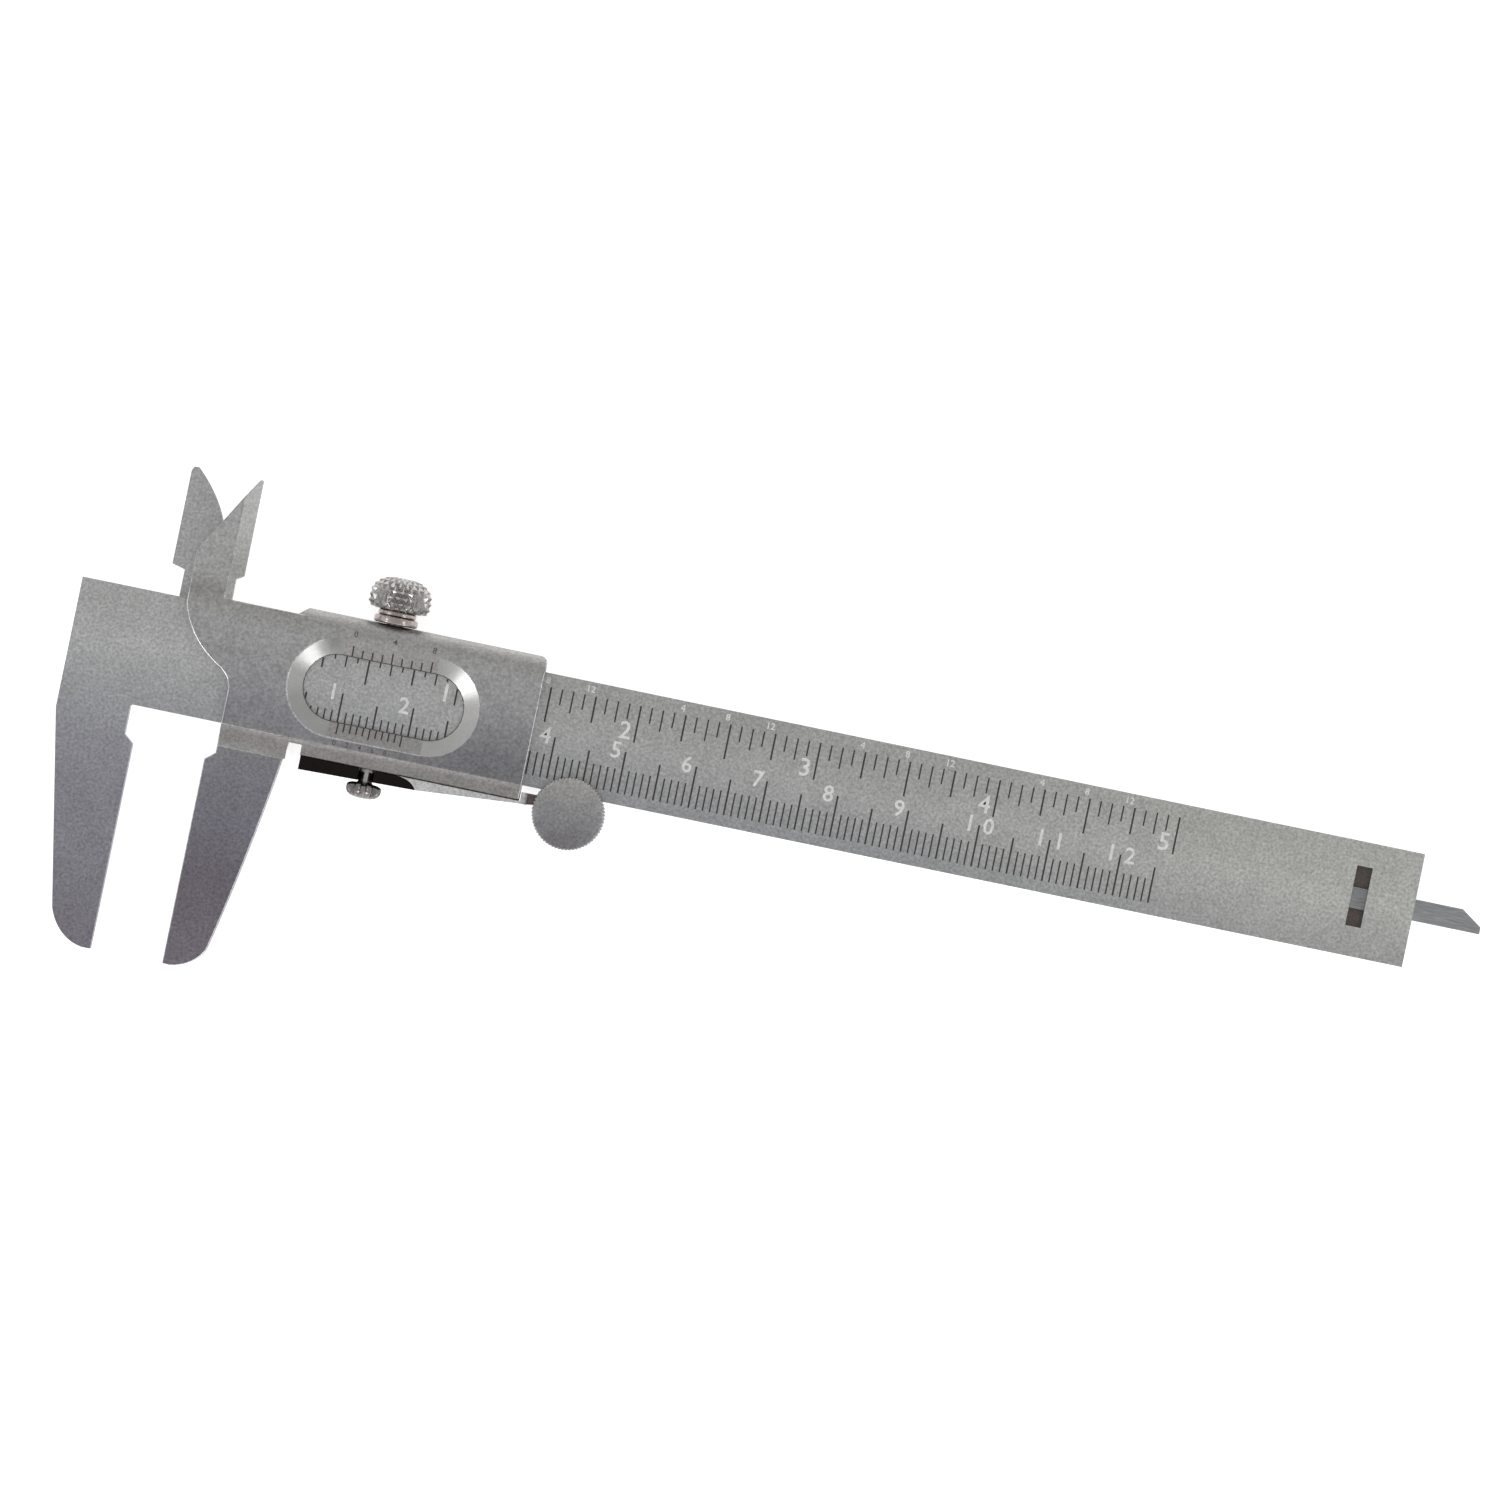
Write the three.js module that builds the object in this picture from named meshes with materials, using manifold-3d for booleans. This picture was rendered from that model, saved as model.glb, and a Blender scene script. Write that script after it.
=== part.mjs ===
// Vernier caliper, 125 mm / 5 in, lying on its back with the graduated face up.
// Millimetres. +X runs along the rule toward the depth rod, +Y toward the inside jaws,
// +Z out of the graduated face. The origin is on the fixed outside jaw's measuring face,
// DATUM_DOWN below the rule's lower edge and half way through its thickness.
// Every piece is drawn with the rule's lower edge at y = 0 and moved to the origin at the end.
// Pieces that ride on the slider are drawn with the jaws shut and moved out by OPENING.
import * as THREE from 'three';
import { mergeVertices } from 'three/addons/utils/BufferGeometryUtils.js';
import Module from 'manifold-3d';

const wasm = await Module();
wasm.setup();

// ---- driving sizes ----
const OPENING = 10.2;            // how far the jaws stand open
const DATUM_DOWN = 20;           // origin below the rule's lower edge
const SLIDE_GAP = 0.08;          // between rule and slider, each side
const RUN_GAP = 0.05;            // radial gap of a pin that turns in a hole
const SEAT_GAP = 0.03;           // radial gap of a rivet or fixed screw in its hole
const PASS_GAP = 0.1;            // between pieces that only pass each other
const CURVE_STEPS = 10;          // straight pieces per curve
const ROUND = 48;                // sides of a large round
const SMALL_ROUND = 20;          // sides of a small round

// rule with its fixed jaws
const RULE_HEIGHT = 16;
const RULE_THICK = 3.2;
const RULE_END = 178.5;
const HEAD_LEFT = -11.4;
const JAW_DEPTH = 34.3;          // jaw tips below the rule
const JAW_TIP_RISE = 4.7;        // rounded part of the fixed jaw's tip
const RELIEF_IN = 1.35;          // notch at the root of each measuring face
const RELIEF_DEEP = 4.2;
const INSIDE_EDGE = 0.3;         // line on which both inside edges meet when shut
const FANG_RISE = 18.1;          // inside jaws above the rule
const FANG_NECK_RISE = 4.3;      // where each inside jaw narrows to its neck
const FIXED_NECK_IN = 1.85;      // fixed neck behind the inside edge
const FIXED_NECK_WIDE = 4.85;
const KNIFE_WIDE = 2.0;          // bevel that thins each inside edge
const KNIFE_LEFT_OVER = 0.6;     // thickness left at the edge

// depth rod, its groove and the slot near the end of the rule
const ROD_OFF_MIDDLE = 0.1;      // rod above the rule's middle line
const ROD_WIDE = 3.0;
const ROD_THICK = 1.3;
const ROD_START = 14;
const ROD_SHORT = 0.5;           // rod end stands this far inside the rule when shut
const GROOVE_OVER = 2;           // groove beyond the rod's left end when shut
const ROD_TAB = 10;              // thicker end that is riveted to the back plate
const SLOT_FROM_END = 7.8;
const SLOT_WIDE = 2.2;
const SLOT_HIGH = 8.45;

// slider, x measured with the jaws shut
const SLIDER_END = 43.8;
const JAW_WIDE = 10.9;
const BOX_START = 8.8;           // where the wall over the rule starts
const FLOOR_NOTCH = 2.0;         // gap between the jaw and the wall under the rule
const PLATE_LEFT = -6.7;
const PLATE_RISE = 1.0;          // front plate above the rule, left of the box
const BOX_RISE = 2.1;
const BOX_DROP = 2.2;
const FRONT_THICK = 1.62;
const BOX_ROUND = 2.2;
const LIP_FALL = 1.3;             // how far the slider's lower edge slopes down to its side
const GIB_THICK = 0.47;
const BACK_THICK = 1.22;
const WINDOW_X = 22.6;
const WINDOW_LONG = 22.4;
const WINDOW_HIGH = 9.2;
const WINDOW_BEVEL = 2.33;
const WINDOW_LIP = 0.27;         // straight part of the window's edge

// screws, rivets and thumb roller
const LOCK_X = 22.1;
const LOCK_SHANK_R = 1.2;
const LOCK_NECK_R = 3.05;
const LOCK_NECK_HIGH = 2.0;
const LOCK_HEAD_R = 4.4;
const LOCK_HEAD_HIGH = 4.65;
const GIB_SCREW_R = 0.6;
const GIB_SCREW_IN = 2.7;        // first gib screw from the box's left end
const GIB_SCREW_OUT = 5.4;       // second one from its right end
const RIVET_R = 0.42;
const RIVET_HEAD_R = 0.7;
const RIVET_HEAD_HIGH = 0.3;
const RIVET_DEEP = 1.5;
const RIVET_IN = 1.7;            // rivets from the back plate's ends
const ROD_RIVET_R = 0.62;
const ROD_RIVET_HEAD_R = 1.1;
const ROD_RIVET_IN = 6;          // from the rod's left end
const ROLLER_REACH = 7.1;        // roller's middle beyond the slider
const ROLLER_DROP = 2.6;         // roller's middle below the rule
const ROLLER_R = 5.1;
const HUB_GAP = 0.02;            // hub to the rule's lower edge
const HUB_WIDE = 1.2;
const DISC_SPACE = 0.22;         // disc clear of the slider's front plane
const DISC_THICK = 1.5;
const AXLE_R = 0.75;
const PRONG_THICK = 0.8;
const PRONG_DROP = 0.95;         // top of the fork below the rule
const ARM_BEHIND = 0.92;         // arm behind the slider's walls
const ARM_SET_BACK = 0.9;        // arm behind the slider's front face
const ARM_WALL_THICK = 0.7;
const ARM_FLANGE = 0.4;          // thickness of the flange the screw clamps
const ARM_GAP = 0.02;            // between arm, pad and the slider's floor
const ARM_DEEP_LEFT = 1.9;       // arm and pad below the floor, at three places
const ARM_DEEP_MID = 1.5;
const ARM_DEEP_RIGHT = 0.37;
const PAD_LONG = 16.6;
const PAD_CURVE = 2.9;
const ROOT_SPACE = 0.2;          // root of the fork beyond the slider
const ROOT_WIDE = 0.9;
const THUMB_SCREW_IN = 9.5;      // small screw from the floor's left end
const THUMB_SCREW_R = 1.0;
const THUMB_HEAD_R = 2.5;
const THUMB_HEAD_HIGH = 2.15;

// keeper over the groove at the end of the rule
const KEEPER_FROM_END = 1.3;
const KEEPER_LONG = 8.0;         // its left edge stops the slider 0.4 beyond 125 mm
const KEEPER_HIGH = 9.8;
const KEEPER_THICK = 0.8;
const KEEPER_SCREW_FROM_END = 3.7;
const KEEPER_SCREW_R = 0.7;
const KEEPER_SCREW_WALL = 1.02;  // between the screw's hole and the groove
const KEEPER_HEAD_R = 1.2;
const KEEPER_HEAD_HIGH = 0.6;

// ---- sizes that follow ----
const RULE_HALF = RULE_THICK / 2;
const REAR_PLANE = -RULE_HALF - SLIDE_GAP;
const FRONT_PLANE = RULE_HALF + SLIDE_GAP;
const FRONT_FACE = FRONT_PLANE + FRONT_THICK;
const BACK_FACE = REAR_PLANE - BACK_THICK;
const HALF_GAP = PASS_GAP / 2;
const FANG_TOP = RULE_HEIGHT + FANG_RISE;
const FANG_STEP = RULE_HEIGHT + FANG_NECK_RISE;
const FIXED_NECK_LEFT = INSIDE_EDGE + FIXED_NECK_IN;
const FIXED_NECK_RIGHT = FIXED_NECK_LEFT + FIXED_NECK_WIDE;
const PLATE_TOP = RULE_HEIGHT + PLATE_RISE;
const BOX_TOP = RULE_HEIGHT + BOX_RISE;
const BOX_BOTTOM = -BOX_DROP;
const FLOOR_START = JAW_WIDE + FLOOR_NOTCH;
const GIB_LOW = RULE_HEIGHT + SLIDE_GAP;
const WALL_LOW = GIB_LOW + GIB_THICK + PASS_GAP;
const WALL_MID = (WALL_LOW + BOX_TOP) / 2;
const FLOOR_TOP = -SLIDE_GAP;
const FLOOR_MID = (FLOOR_TOP + BOX_BOTTOM) / 2;
const WINDOW_Y = RULE_HEIGHT / 2;
const LOCK_HEAD_LOW = BOX_TOP + LOCK_NECK_HIGH;
const LOCK_HEAD_TOP = LOCK_HEAD_LOW + LOCK_HEAD_HIGH;
const ROD_Y = RULE_HEIGHT / 2 + ROD_OFF_MIDDLE;
const ROD_BACK = -RULE_HALF + RUN_GAP;
const ROD_FRONT = ROD_BACK + ROD_THICK;
const ROD_END = RULE_END - ROD_SHORT;
const GROOVE_START = ROD_START - GROOVE_OVER;
const SLOT_X = RULE_END - SLOT_FROM_END;
const KEEPER_RIGHT = RULE_END - KEEPER_FROM_END;
const KEEPER_LEFT = KEEPER_RIGHT - KEEPER_LONG;
const KEEPER_SCREW_X = RULE_END - KEEPER_SCREW_FROM_END;
const KEEPER_SCREW_OFF = ROD_WIDE / 2 + KEEPER_SCREW_WALL + KEEPER_SCREW_R;
const ROLLER_X = SLIDER_END + ROLLER_REACH;
const ROLLER_Y = -ROLLER_DROP;
const HUB_R = ROLLER_DROP - HUB_GAP;
const HUB_HALF = HUB_WIDE / 2;
const DISC_INNER = FRONT_PLANE + DISC_SPACE;
const DISC_OUTER = DISC_INNER + DISC_THICK;
const PRONG_IN = HUB_HALF + PASS_GAP;
const PRONG_OUT = PRONG_IN + PRONG_THICK;
const PRONG_TOP = -PRONG_DROP;
const ARM_TOP = BOX_BOTTOM - ARM_GAP;
const ARM_BACK = REAR_PLANE - ARM_BEHIND;
const ARM_FRONT = FRONT_FACE - ARM_SET_BACK;
const ARM_WALL = ARM_BACK + ARM_WALL_THICK;
const ARM_FLANGE_FRONT = ARM_FRONT - ARM_WALL_THICK;
const ARM_LOW_LEFT = BOX_BOTTOM - ARM_DEEP_LEFT;
const ARM_LOW_MID = BOX_BOTTOM - ARM_DEEP_MID;
const ARM_LOW_RIGHT = BOX_BOTTOM - ARM_DEEP_RIGHT;
const PAD_END = FLOOR_START + PAD_LONG;
const PAD_CURVE_START = PAD_END - PAD_CURVE;
const ROOT_LEFT = SLIDER_END + ROOT_SPACE;
const ROOT_RIGHT = ROOT_LEFT + ROOT_WIDE;
const THUMB_SCREW_X = FLOOR_START + THUMB_SCREW_IN;
const GIB_SCREW_XS = [FLOOR_START + GIB_SCREW_IN, SLIDER_END - GIB_SCREW_OUT];
const RIVET_XS = [FLOOR_START + RIVET_IN, SLIDER_END - RIVET_IN];
const ROD_RIVET_X = ROD_START + ROD_RIVET_IN;

// ---- helpers ----
function toSolid(geometry) {
  const bare = geometry.clone();
  bare.deleteAttribute('normal');
  bare.deleteAttribute('uv');
  const merged = mergeVertices(bare, 1e-5);
  return new wasm.Manifold(new wasm.Mesh({
    numProp: 3,
    vertProperties: new Float32Array(merged.attributes.position.array),
    triVerts: new Uint32Array(merged.index.array),
  }));
}

function toGeometry(solid) {
  const mesh = solid.getMesh();
  const geometry = new THREE.BufferGeometry();
  geometry.setAttribute('position', new THREE.BufferAttribute(mesh.vertProperties.slice(), 3));
  geometry.setIndex(new THREE.BufferAttribute(mesh.triVerts.slice(), 1));
  return geometry;
}

function join(first, ...others) {
  let solid = toSolid(first);
  for (const other of others) {
    solid = solid.add(toSolid(other));
  }
  return toGeometry(solid);
}

function cut(first, ...tools) {
  let solid = toSolid(first);
  for (const tool of tools) {
    solid = solid.subtract(toSolid(tool));
  }
  return toGeometry(solid);
}

// outline in x and y, solid between two heights
function plate(shape, low, high) {
  const geometry = new THREE.ExtrudeGeometry(shape, {
    depth: high - low,
    bevelEnabled: false,
    curveSegments: CURVE_STEPS,
  });
  geometry.translate(0, 0, low);
  return geometry;
}

// outline drawn in y and z, solid between two places along x
function bar(shape, left, right) {
  const geometry = plate(shape, left, right);
  const turn = new THREE.Matrix4().makeBasis(
    new THREE.Vector3(0, 1, 0),
    new THREE.Vector3(0, 0, 1),
    new THREE.Vector3(1, 0, 0),
  );
  geometry.applyMatrix4(turn);
  return geometry;
}

// outline drawn in x and z (z given negated), solid between two places along y
function slab(shape, low, high) {
  const geometry = plate(shape, low, high);
  geometry.rotateX(-Math.PI / 2);
  return geometry;
}

function box(left, right, low, high, back, front) {
  const geometry = new THREE.BoxGeometry(right - left, high - low, front - back);
  geometry.translate((left + right) / 2, (low + high) / 2, (back + front) / 2);
  return geometry;
}

function outline(points) {
  const shape = new THREE.Shape();
  shape.moveTo(points[0][0], points[0][1]);
  for (const point of points.slice(1)) {
    shape.lineTo(point[0], point[1]);
  }
  shape.closePath();
  return shape;
}

// body of revolution about a line along y through (x, z)
function turnedY(profile, x, z, sides) {
  const points = profile.map((p) => new THREE.Vector2(p[0], p[1]));
  const geometry = new THREE.LatheGeometry(points, sides);
  geometry.translate(x, 0, z);
  return geometry;
}

// body of revolution about a line along z through (x, y); the profile is radius and z
function turnedZ(profile, x, y, sides) {
  const points = profile.map((p) => new THREE.Vector2(p[0], p[1]));
  const geometry = new THREE.LatheGeometry(points, sides);
  geometry.rotateX(Math.PI / 2);
  geometry.translate(x, y, 0);
  return geometry;
}

function roundPinZ(radius, x, y, low, high, sides) {
  return turnedZ([[0, low], [radius, low], [radius, high], [0, high]], x, y, sides);
}

function roundPinY(radius, x, z, low, high, sides) {
  return turnedY([[0, low], [radius, low], [radius, high], [0, high]], x, z, sides);
}

function stadiumPoints(x, y, long, high) {
  const r = high / 2;
  const half = long / 2 - r;
  const points = [];
  const steps = 14;
  for (let i = 0; i <= steps; i += 1) {
    const a = -Math.PI / 2 + (Math.PI * i) / steps;
    points.push([x + half + r * Math.cos(a), y + r * Math.sin(a)]);
  }
  for (let i = 0; i <= steps; i += 1) {
    const a = Math.PI / 2 + (Math.PI * i) / steps;
    points.push([x - half + r * Math.cos(a), y + r * Math.sin(a)]);
  }
  return points;
}

// solid between two outlines with the same number of points, both bulging outward
function spread(lowPoints, low, highPoints, high) {
  const count = lowPoints.length;
  const positions = [];
  const faces = [];
  for (const p of lowPoints) {
    positions.push(p[0], p[1], low);
  }
  for (const p of highPoints) {
    positions.push(p[0], p[1], high);
  }
  for (let i = 0; i < count; i += 1) {
    const j = (i + 1) % count;
    faces.push(i, j, count + j);
    faces.push(i, count + j, count + i);
  }
  for (let i = 1; i < count - 1; i += 1) {
    faces.push(0, i + 1, i);
    faces.push(count, count + i, count + i + 1);
  }
  const geometry = new THREE.BufferGeometry();
  geometry.setAttribute('position', new THREE.Float32BufferAttribute(positions, 3));
  geometry.setIndex(faces);
  return geometry;
}

// ---- rule with the fixed outside and inside jaws ----
const headShape = new THREE.Shape();
headShape.moveTo(HEAD_LEFT, RULE_HEIGHT);
headShape.lineTo(HEAD_LEFT, -2.4);
headShape.lineTo(-6.3, -JAW_DEPTH + JAW_TIP_RISE);
headShape.bezierCurveTo(-5.6, -JAW_DEPTH + 2.3, -3.6, -JAW_DEPTH + 0.3, -1.2, -JAW_DEPTH);
headShape.lineTo(0, -JAW_DEPTH);
headShape.lineTo(0, -RELIEF_DEEP - 1.1);
headShape.lineTo(-RELIEF_IN, -RELIEF_DEEP);
headShape.lineTo(-RELIEF_IN, -0.4);
headShape.quadraticCurveTo(-RELIEF_IN, 0, -RELIEF_IN + 0.4, 0);
headShape.lineTo(RULE_END, 0);
headShape.lineTo(RULE_END, RULE_HEIGHT);
headShape.closePath();

const fixedFangShape = new THREE.Shape();
fixedFangShape.moveTo(FIXED_NECK_LEFT, RULE_HEIGHT - 1);
fixedFangShape.lineTo(FIXED_NECK_RIGHT, RULE_HEIGHT - 1);
fixedFangShape.lineTo(FIXED_NECK_RIGHT, FANG_TOP - 9.7);
fixedFangShape.bezierCurveTo(
  FIXED_NECK_RIGHT - 0.8, FANG_TOP - 6.1, FIXED_NECK_RIGHT - 2.4, FANG_TOP - 3.1, INSIDE_EDGE + 1, FANG_TOP,
);
fixedFangShape.lineTo(INSIDE_EDGE + 0.35, FANG_TOP);
fixedFangShape.lineTo(INSIDE_EDGE, FANG_TOP - 0.6);
fixedFangShape.lineTo(INSIDE_EDGE, FANG_STEP);
fixedFangShape.lineTo(FIXED_NECK_LEFT, FANG_STEP - 0.5);
fixedFangShape.lineTo(FIXED_NECK_LEFT, RULE_HEIGHT - 1);

const fixedKnife = slab(outline([
  [INSIDE_EDGE - 0.5, RULE_HALF + 1],
  [INSIDE_EDGE - 0.5, HALF_GAP + KNIFE_LEFT_OVER],
  [INSIDE_EDGE, HALF_GAP + KNIFE_LEFT_OVER],
  [INSIDE_EDGE + KNIFE_WIDE, RULE_HALF],
  [INSIDE_EDGE + KNIFE_WIDE, RULE_HALF + 1],
]), RULE_HEIGHT + 1, FANG_TOP + 1);

const slotX = [SLOT_X - SLOT_WIDE / 2, SLOT_X + SLOT_WIDE / 2];
const slotY = [ROD_Y - SLOT_HIGH / 2 + 0.27, ROD_Y + SLOT_HIGH / 2 + 0.27];
const keeperScrewYs = [ROD_Y - KEEPER_SCREW_OFF, ROD_Y + KEEPER_SCREW_OFF];

let rule = join(
  plate(headShape, -RULE_HALF, RULE_HALF),
  plate(fixedFangShape, -RULE_HALF, -HALF_GAP),
);
rule = cut(
  rule,
  fixedKnife,
  box(GROOVE_START, RULE_END + 1, ROD_Y - ROD_WIDE / 2 - SLIDE_GAP, ROD_Y + ROD_WIDE / 2 + SLIDE_GAP,
    -RULE_HALF - 1, ROD_FRONT + RUN_GAP),
  box(slotX[0], slotX[1], slotY[0], slotY[1], -RULE_HALF - 1, RULE_HALF + 1),
  ...keeperScrewYs.map((y) => roundPinZ(
    KEEPER_SCREW_R + SEAT_GAP, KEEPER_SCREW_X, y, -RULE_HALF - 1, -RULE_HALF + 1.25, SMALL_ROUND,
  )),
);

// ---- keeper over the rod's groove, with its screws ----
let keeper = box(
  KEEPER_LEFT, KEEPER_RIGHT, ROD_Y - KEEPER_HIGH / 2, ROD_Y + KEEPER_HIGH / 2,
  -RULE_HALF - KEEPER_THICK, -RULE_HALF,
);
keeper = cut(keeper, ...keeperScrewYs.map((y) => roundPinZ(
  KEEPER_SCREW_R + SEAT_GAP, KEEPER_SCREW_X, y, -RULE_HALF - 2, -RULE_HALF + 1, SMALL_ROUND,
)));

function keeperScrew(y) {
  const seat = -RULE_HALF - KEEPER_THICK;
  const low = seat - KEEPER_HEAD_HIGH;
  const body = turnedZ([
    [0, low], [KEEPER_HEAD_R - 0.25, low], [KEEPER_HEAD_R, low + 0.2], [KEEPER_HEAD_R, seat],
    [KEEPER_SCREW_R, seat], [KEEPER_SCREW_R, -RULE_HALF + 1.2], [0, -RULE_HALF + 1.2],
  ], KEEPER_SCREW_X, y, SMALL_ROUND);
  const slot = box(
    KEEPER_SCREW_X - KEEPER_HEAD_R - 1, KEEPER_SCREW_X + KEEPER_HEAD_R + 1,
    y - 0.17, y + 0.17, low - 1, low + 0.3,
  );
  return cut(body, slot);
}

// ---- slider: front plate, walls, sliding jaw and sliding inside jaw in one piece ----
const boxSection = new THREE.Shape();
boxSection.moveTo(BOX_BOTTOM, REAR_PLANE);
boxSection.lineTo(BOX_BOTTOM, FRONT_FACE - LIP_FALL);
boxSection.quadraticCurveTo(
  BOX_BOTTOM, FRONT_FACE - LIP_FALL + 0.3, BOX_BOTTOM + 0.5, FRONT_FACE - LIP_FALL + 0.5,
);
boxSection.lineTo(BOX_BOTTOM + BOX_DROP, FRONT_FACE);
boxSection.lineTo(BOX_TOP - BOX_ROUND, FRONT_FACE);
boxSection.absarc(BOX_TOP - BOX_ROUND, FRONT_FACE - BOX_ROUND, BOX_ROUND, Math.PI / 2, 0, true);
boxSection.lineTo(BOX_TOP, REAR_PLANE);
boxSection.lineTo(WALL_LOW, REAR_PLANE);
boxSection.lineTo(WALL_LOW, FRONT_PLANE);
boxSection.lineTo(FLOOR_TOP, FRONT_PLANE);
boxSection.lineTo(FLOOR_TOP, REAR_PLANE);
boxSection.closePath();

// plate left of the box, swept down from the inside jaw's neck to the jaw's root
const plateShape = new THREE.Shape();
plateShape.moveTo(RELIEF_IN, FLOOR_TOP);
plateShape.lineTo(RELIEF_IN, 4.6);
plateShape.quadraticCurveTo(RELIEF_IN, 6.3, -0.3, 7.5);
plateShape.bezierCurveTo(-3.4, 9.3, PLATE_LEFT + 1.1, RULE_HEIGHT - 4.4, PLATE_LEFT, RULE_HEIGHT - 0.6);
plateShape.lineTo(PLATE_LEFT, FANG_TOP - 11.2);
plateShape.lineTo(INSIDE_EDGE - 0.45, FANG_TOP);
plateShape.lineTo(INSIDE_EDGE, FANG_TOP);
plateShape.lineTo(INSIDE_EDGE, FANG_STEP + 0.2);
plateShape.lineTo(INSIDE_EDGE - 1.0, FANG_STEP - 0.4);
plateShape.lineTo(INSIDE_EDGE - 1.0, PLATE_TOP + 0.4);
plateShape.quadraticCurveTo(INSIDE_EDGE - 1.0, PLATE_TOP, INSIDE_EDGE - 0.6, PLATE_TOP);
plateShape.lineTo(BOX_START + 1, PLATE_TOP);
plateShape.lineTo(BOX_START + 1, FLOOR_TOP);
plateShape.closePath();

// thicker part of the inside jaw, over the rule's upper edge
const fangShape = new THREE.Shape();
fangShape.moveTo(PLATE_LEFT, RULE_HEIGHT + PASS_GAP);
fangShape.lineTo(INSIDE_EDGE - 1.0, RULE_HEIGHT + PASS_GAP);
fangShape.lineTo(INSIDE_EDGE - 1.0, FANG_STEP - 0.4);
fangShape.lineTo(INSIDE_EDGE, FANG_STEP + 0.2);
fangShape.lineTo(INSIDE_EDGE, FANG_TOP);
fangShape.lineTo(INSIDE_EDGE - 0.45, FANG_TOP);
fangShape.lineTo(PLATE_LEFT, FANG_TOP - 11.2);
fangShape.closePath();

const jawShape = new THREE.Shape();
jawShape.moveTo(RELIEF_IN, FLOOR_TOP);
jawShape.lineTo(RELIEF_IN, -RELIEF_DEEP);
jawShape.lineTo(0, -RELIEF_DEEP - 1.1);
jawShape.lineTo(0, -JAW_DEPTH);
jawShape.lineTo(1.1, -JAW_DEPTH);
jawShape.bezierCurveTo(3.2, -JAW_DEPTH + 0.3, 5.0, -JAW_DEPTH + 1.6, 5.6, -JAW_DEPTH + 3.1);
jawShape.quadraticCurveTo(8.6, -JAW_DEPTH + 16.3, JAW_WIDE, -1.0);
jawShape.lineTo(JAW_WIDE, FLOOR_TOP);
jawShape.closePath();

// sloped root that carries the jaw on the front plate
const jawRoot = bar(outline([
  [1.0, FRONT_PLANE], [1.0, FRONT_FACE], [0.1, FRONT_FACE], [-3.1, RULE_HALF],
  [-3.1, RULE_HALF - 0.6], [FLOOR_TOP, RULE_HALF - 0.6], [FLOOR_TOP, FRONT_PLANE],
]), RELIEF_IN, JAW_WIDE);

const windowGrow = WINDOW_BEVEL / (FRONT_FACE - FRONT_PLANE - WINDOW_LIP);
const windowOver = 0.3;
const windowTop = FRONT_FACE + windowOver;
const windowSpread = 2 * (WINDOW_BEVEL + windowOver * windowGrow);
const windowInner = stadiumPoints(WINDOW_X, WINDOW_Y, WINDOW_LONG, WINDOW_HIGH);
const windowOuter = stadiumPoints(
  WINDOW_X, WINDOW_Y, WINDOW_LONG + windowSpread, WINDOW_HIGH + windowSpread,
);

const slideKnife = slab(outline([
  [INSIDE_EDGE - KNIFE_WIDE, -FRONT_FACE - 1],
  [INSIDE_EDGE - KNIFE_WIDE, -FRONT_FACE],
  [INSIDE_EDGE, -HALF_GAP - KNIFE_LEFT_OVER],
  [INSIDE_EDGE + 1, -HALF_GAP - KNIFE_LEFT_OVER],
  [INSIDE_EDGE + 1, -FRONT_FACE - 1],
]), PLATE_TOP + 0.1, FANG_TOP + 1);

let boxPart = bar(boxSection, BOX_START, SLIDER_END);
const roundedEnd = new THREE.Shape();
roundedEnd.moveTo(SLIDER_END - 1, BOX_TOP + 1);
roundedEnd.lineTo(SLIDER_END - 1, BOX_TOP);
roundedEnd.absarc(SLIDER_END - 1, BOX_TOP - 1, 1, Math.PI / 2, 0, true);
roundedEnd.lineTo(SLIDER_END + 1, BOX_TOP - 1);
roundedEnd.lineTo(SLIDER_END + 1, BOX_TOP + 1);
roundedEnd.closePath();
boxPart = cut(
  boxPart,
  plate(roundedEnd, REAR_PLANE - 1, FRONT_FACE + 1),
  box(BOX_START - 1, FLOOR_START, BOX_BOTTOM - 1, -0.7, REAR_PLANE - 1, FRONT_FACE + 1),
  box(BOX_START - 1, FLOOR_START, BOX_BOTTOM - 1, 1, REAR_PLANE - 1, FRONT_PLANE),
  plate(outline([
    [BOX_START - 1, PLATE_TOP], [BOX_START, PLATE_TOP], [BOX_START + 1.3, BOX_TOP],
    [BOX_START + 1.3, BOX_TOP + 1], [BOX_START - 1, BOX_TOP + 1],
  ]), REAR_PLANE - 1, FRONT_FACE + 1),
);

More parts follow.
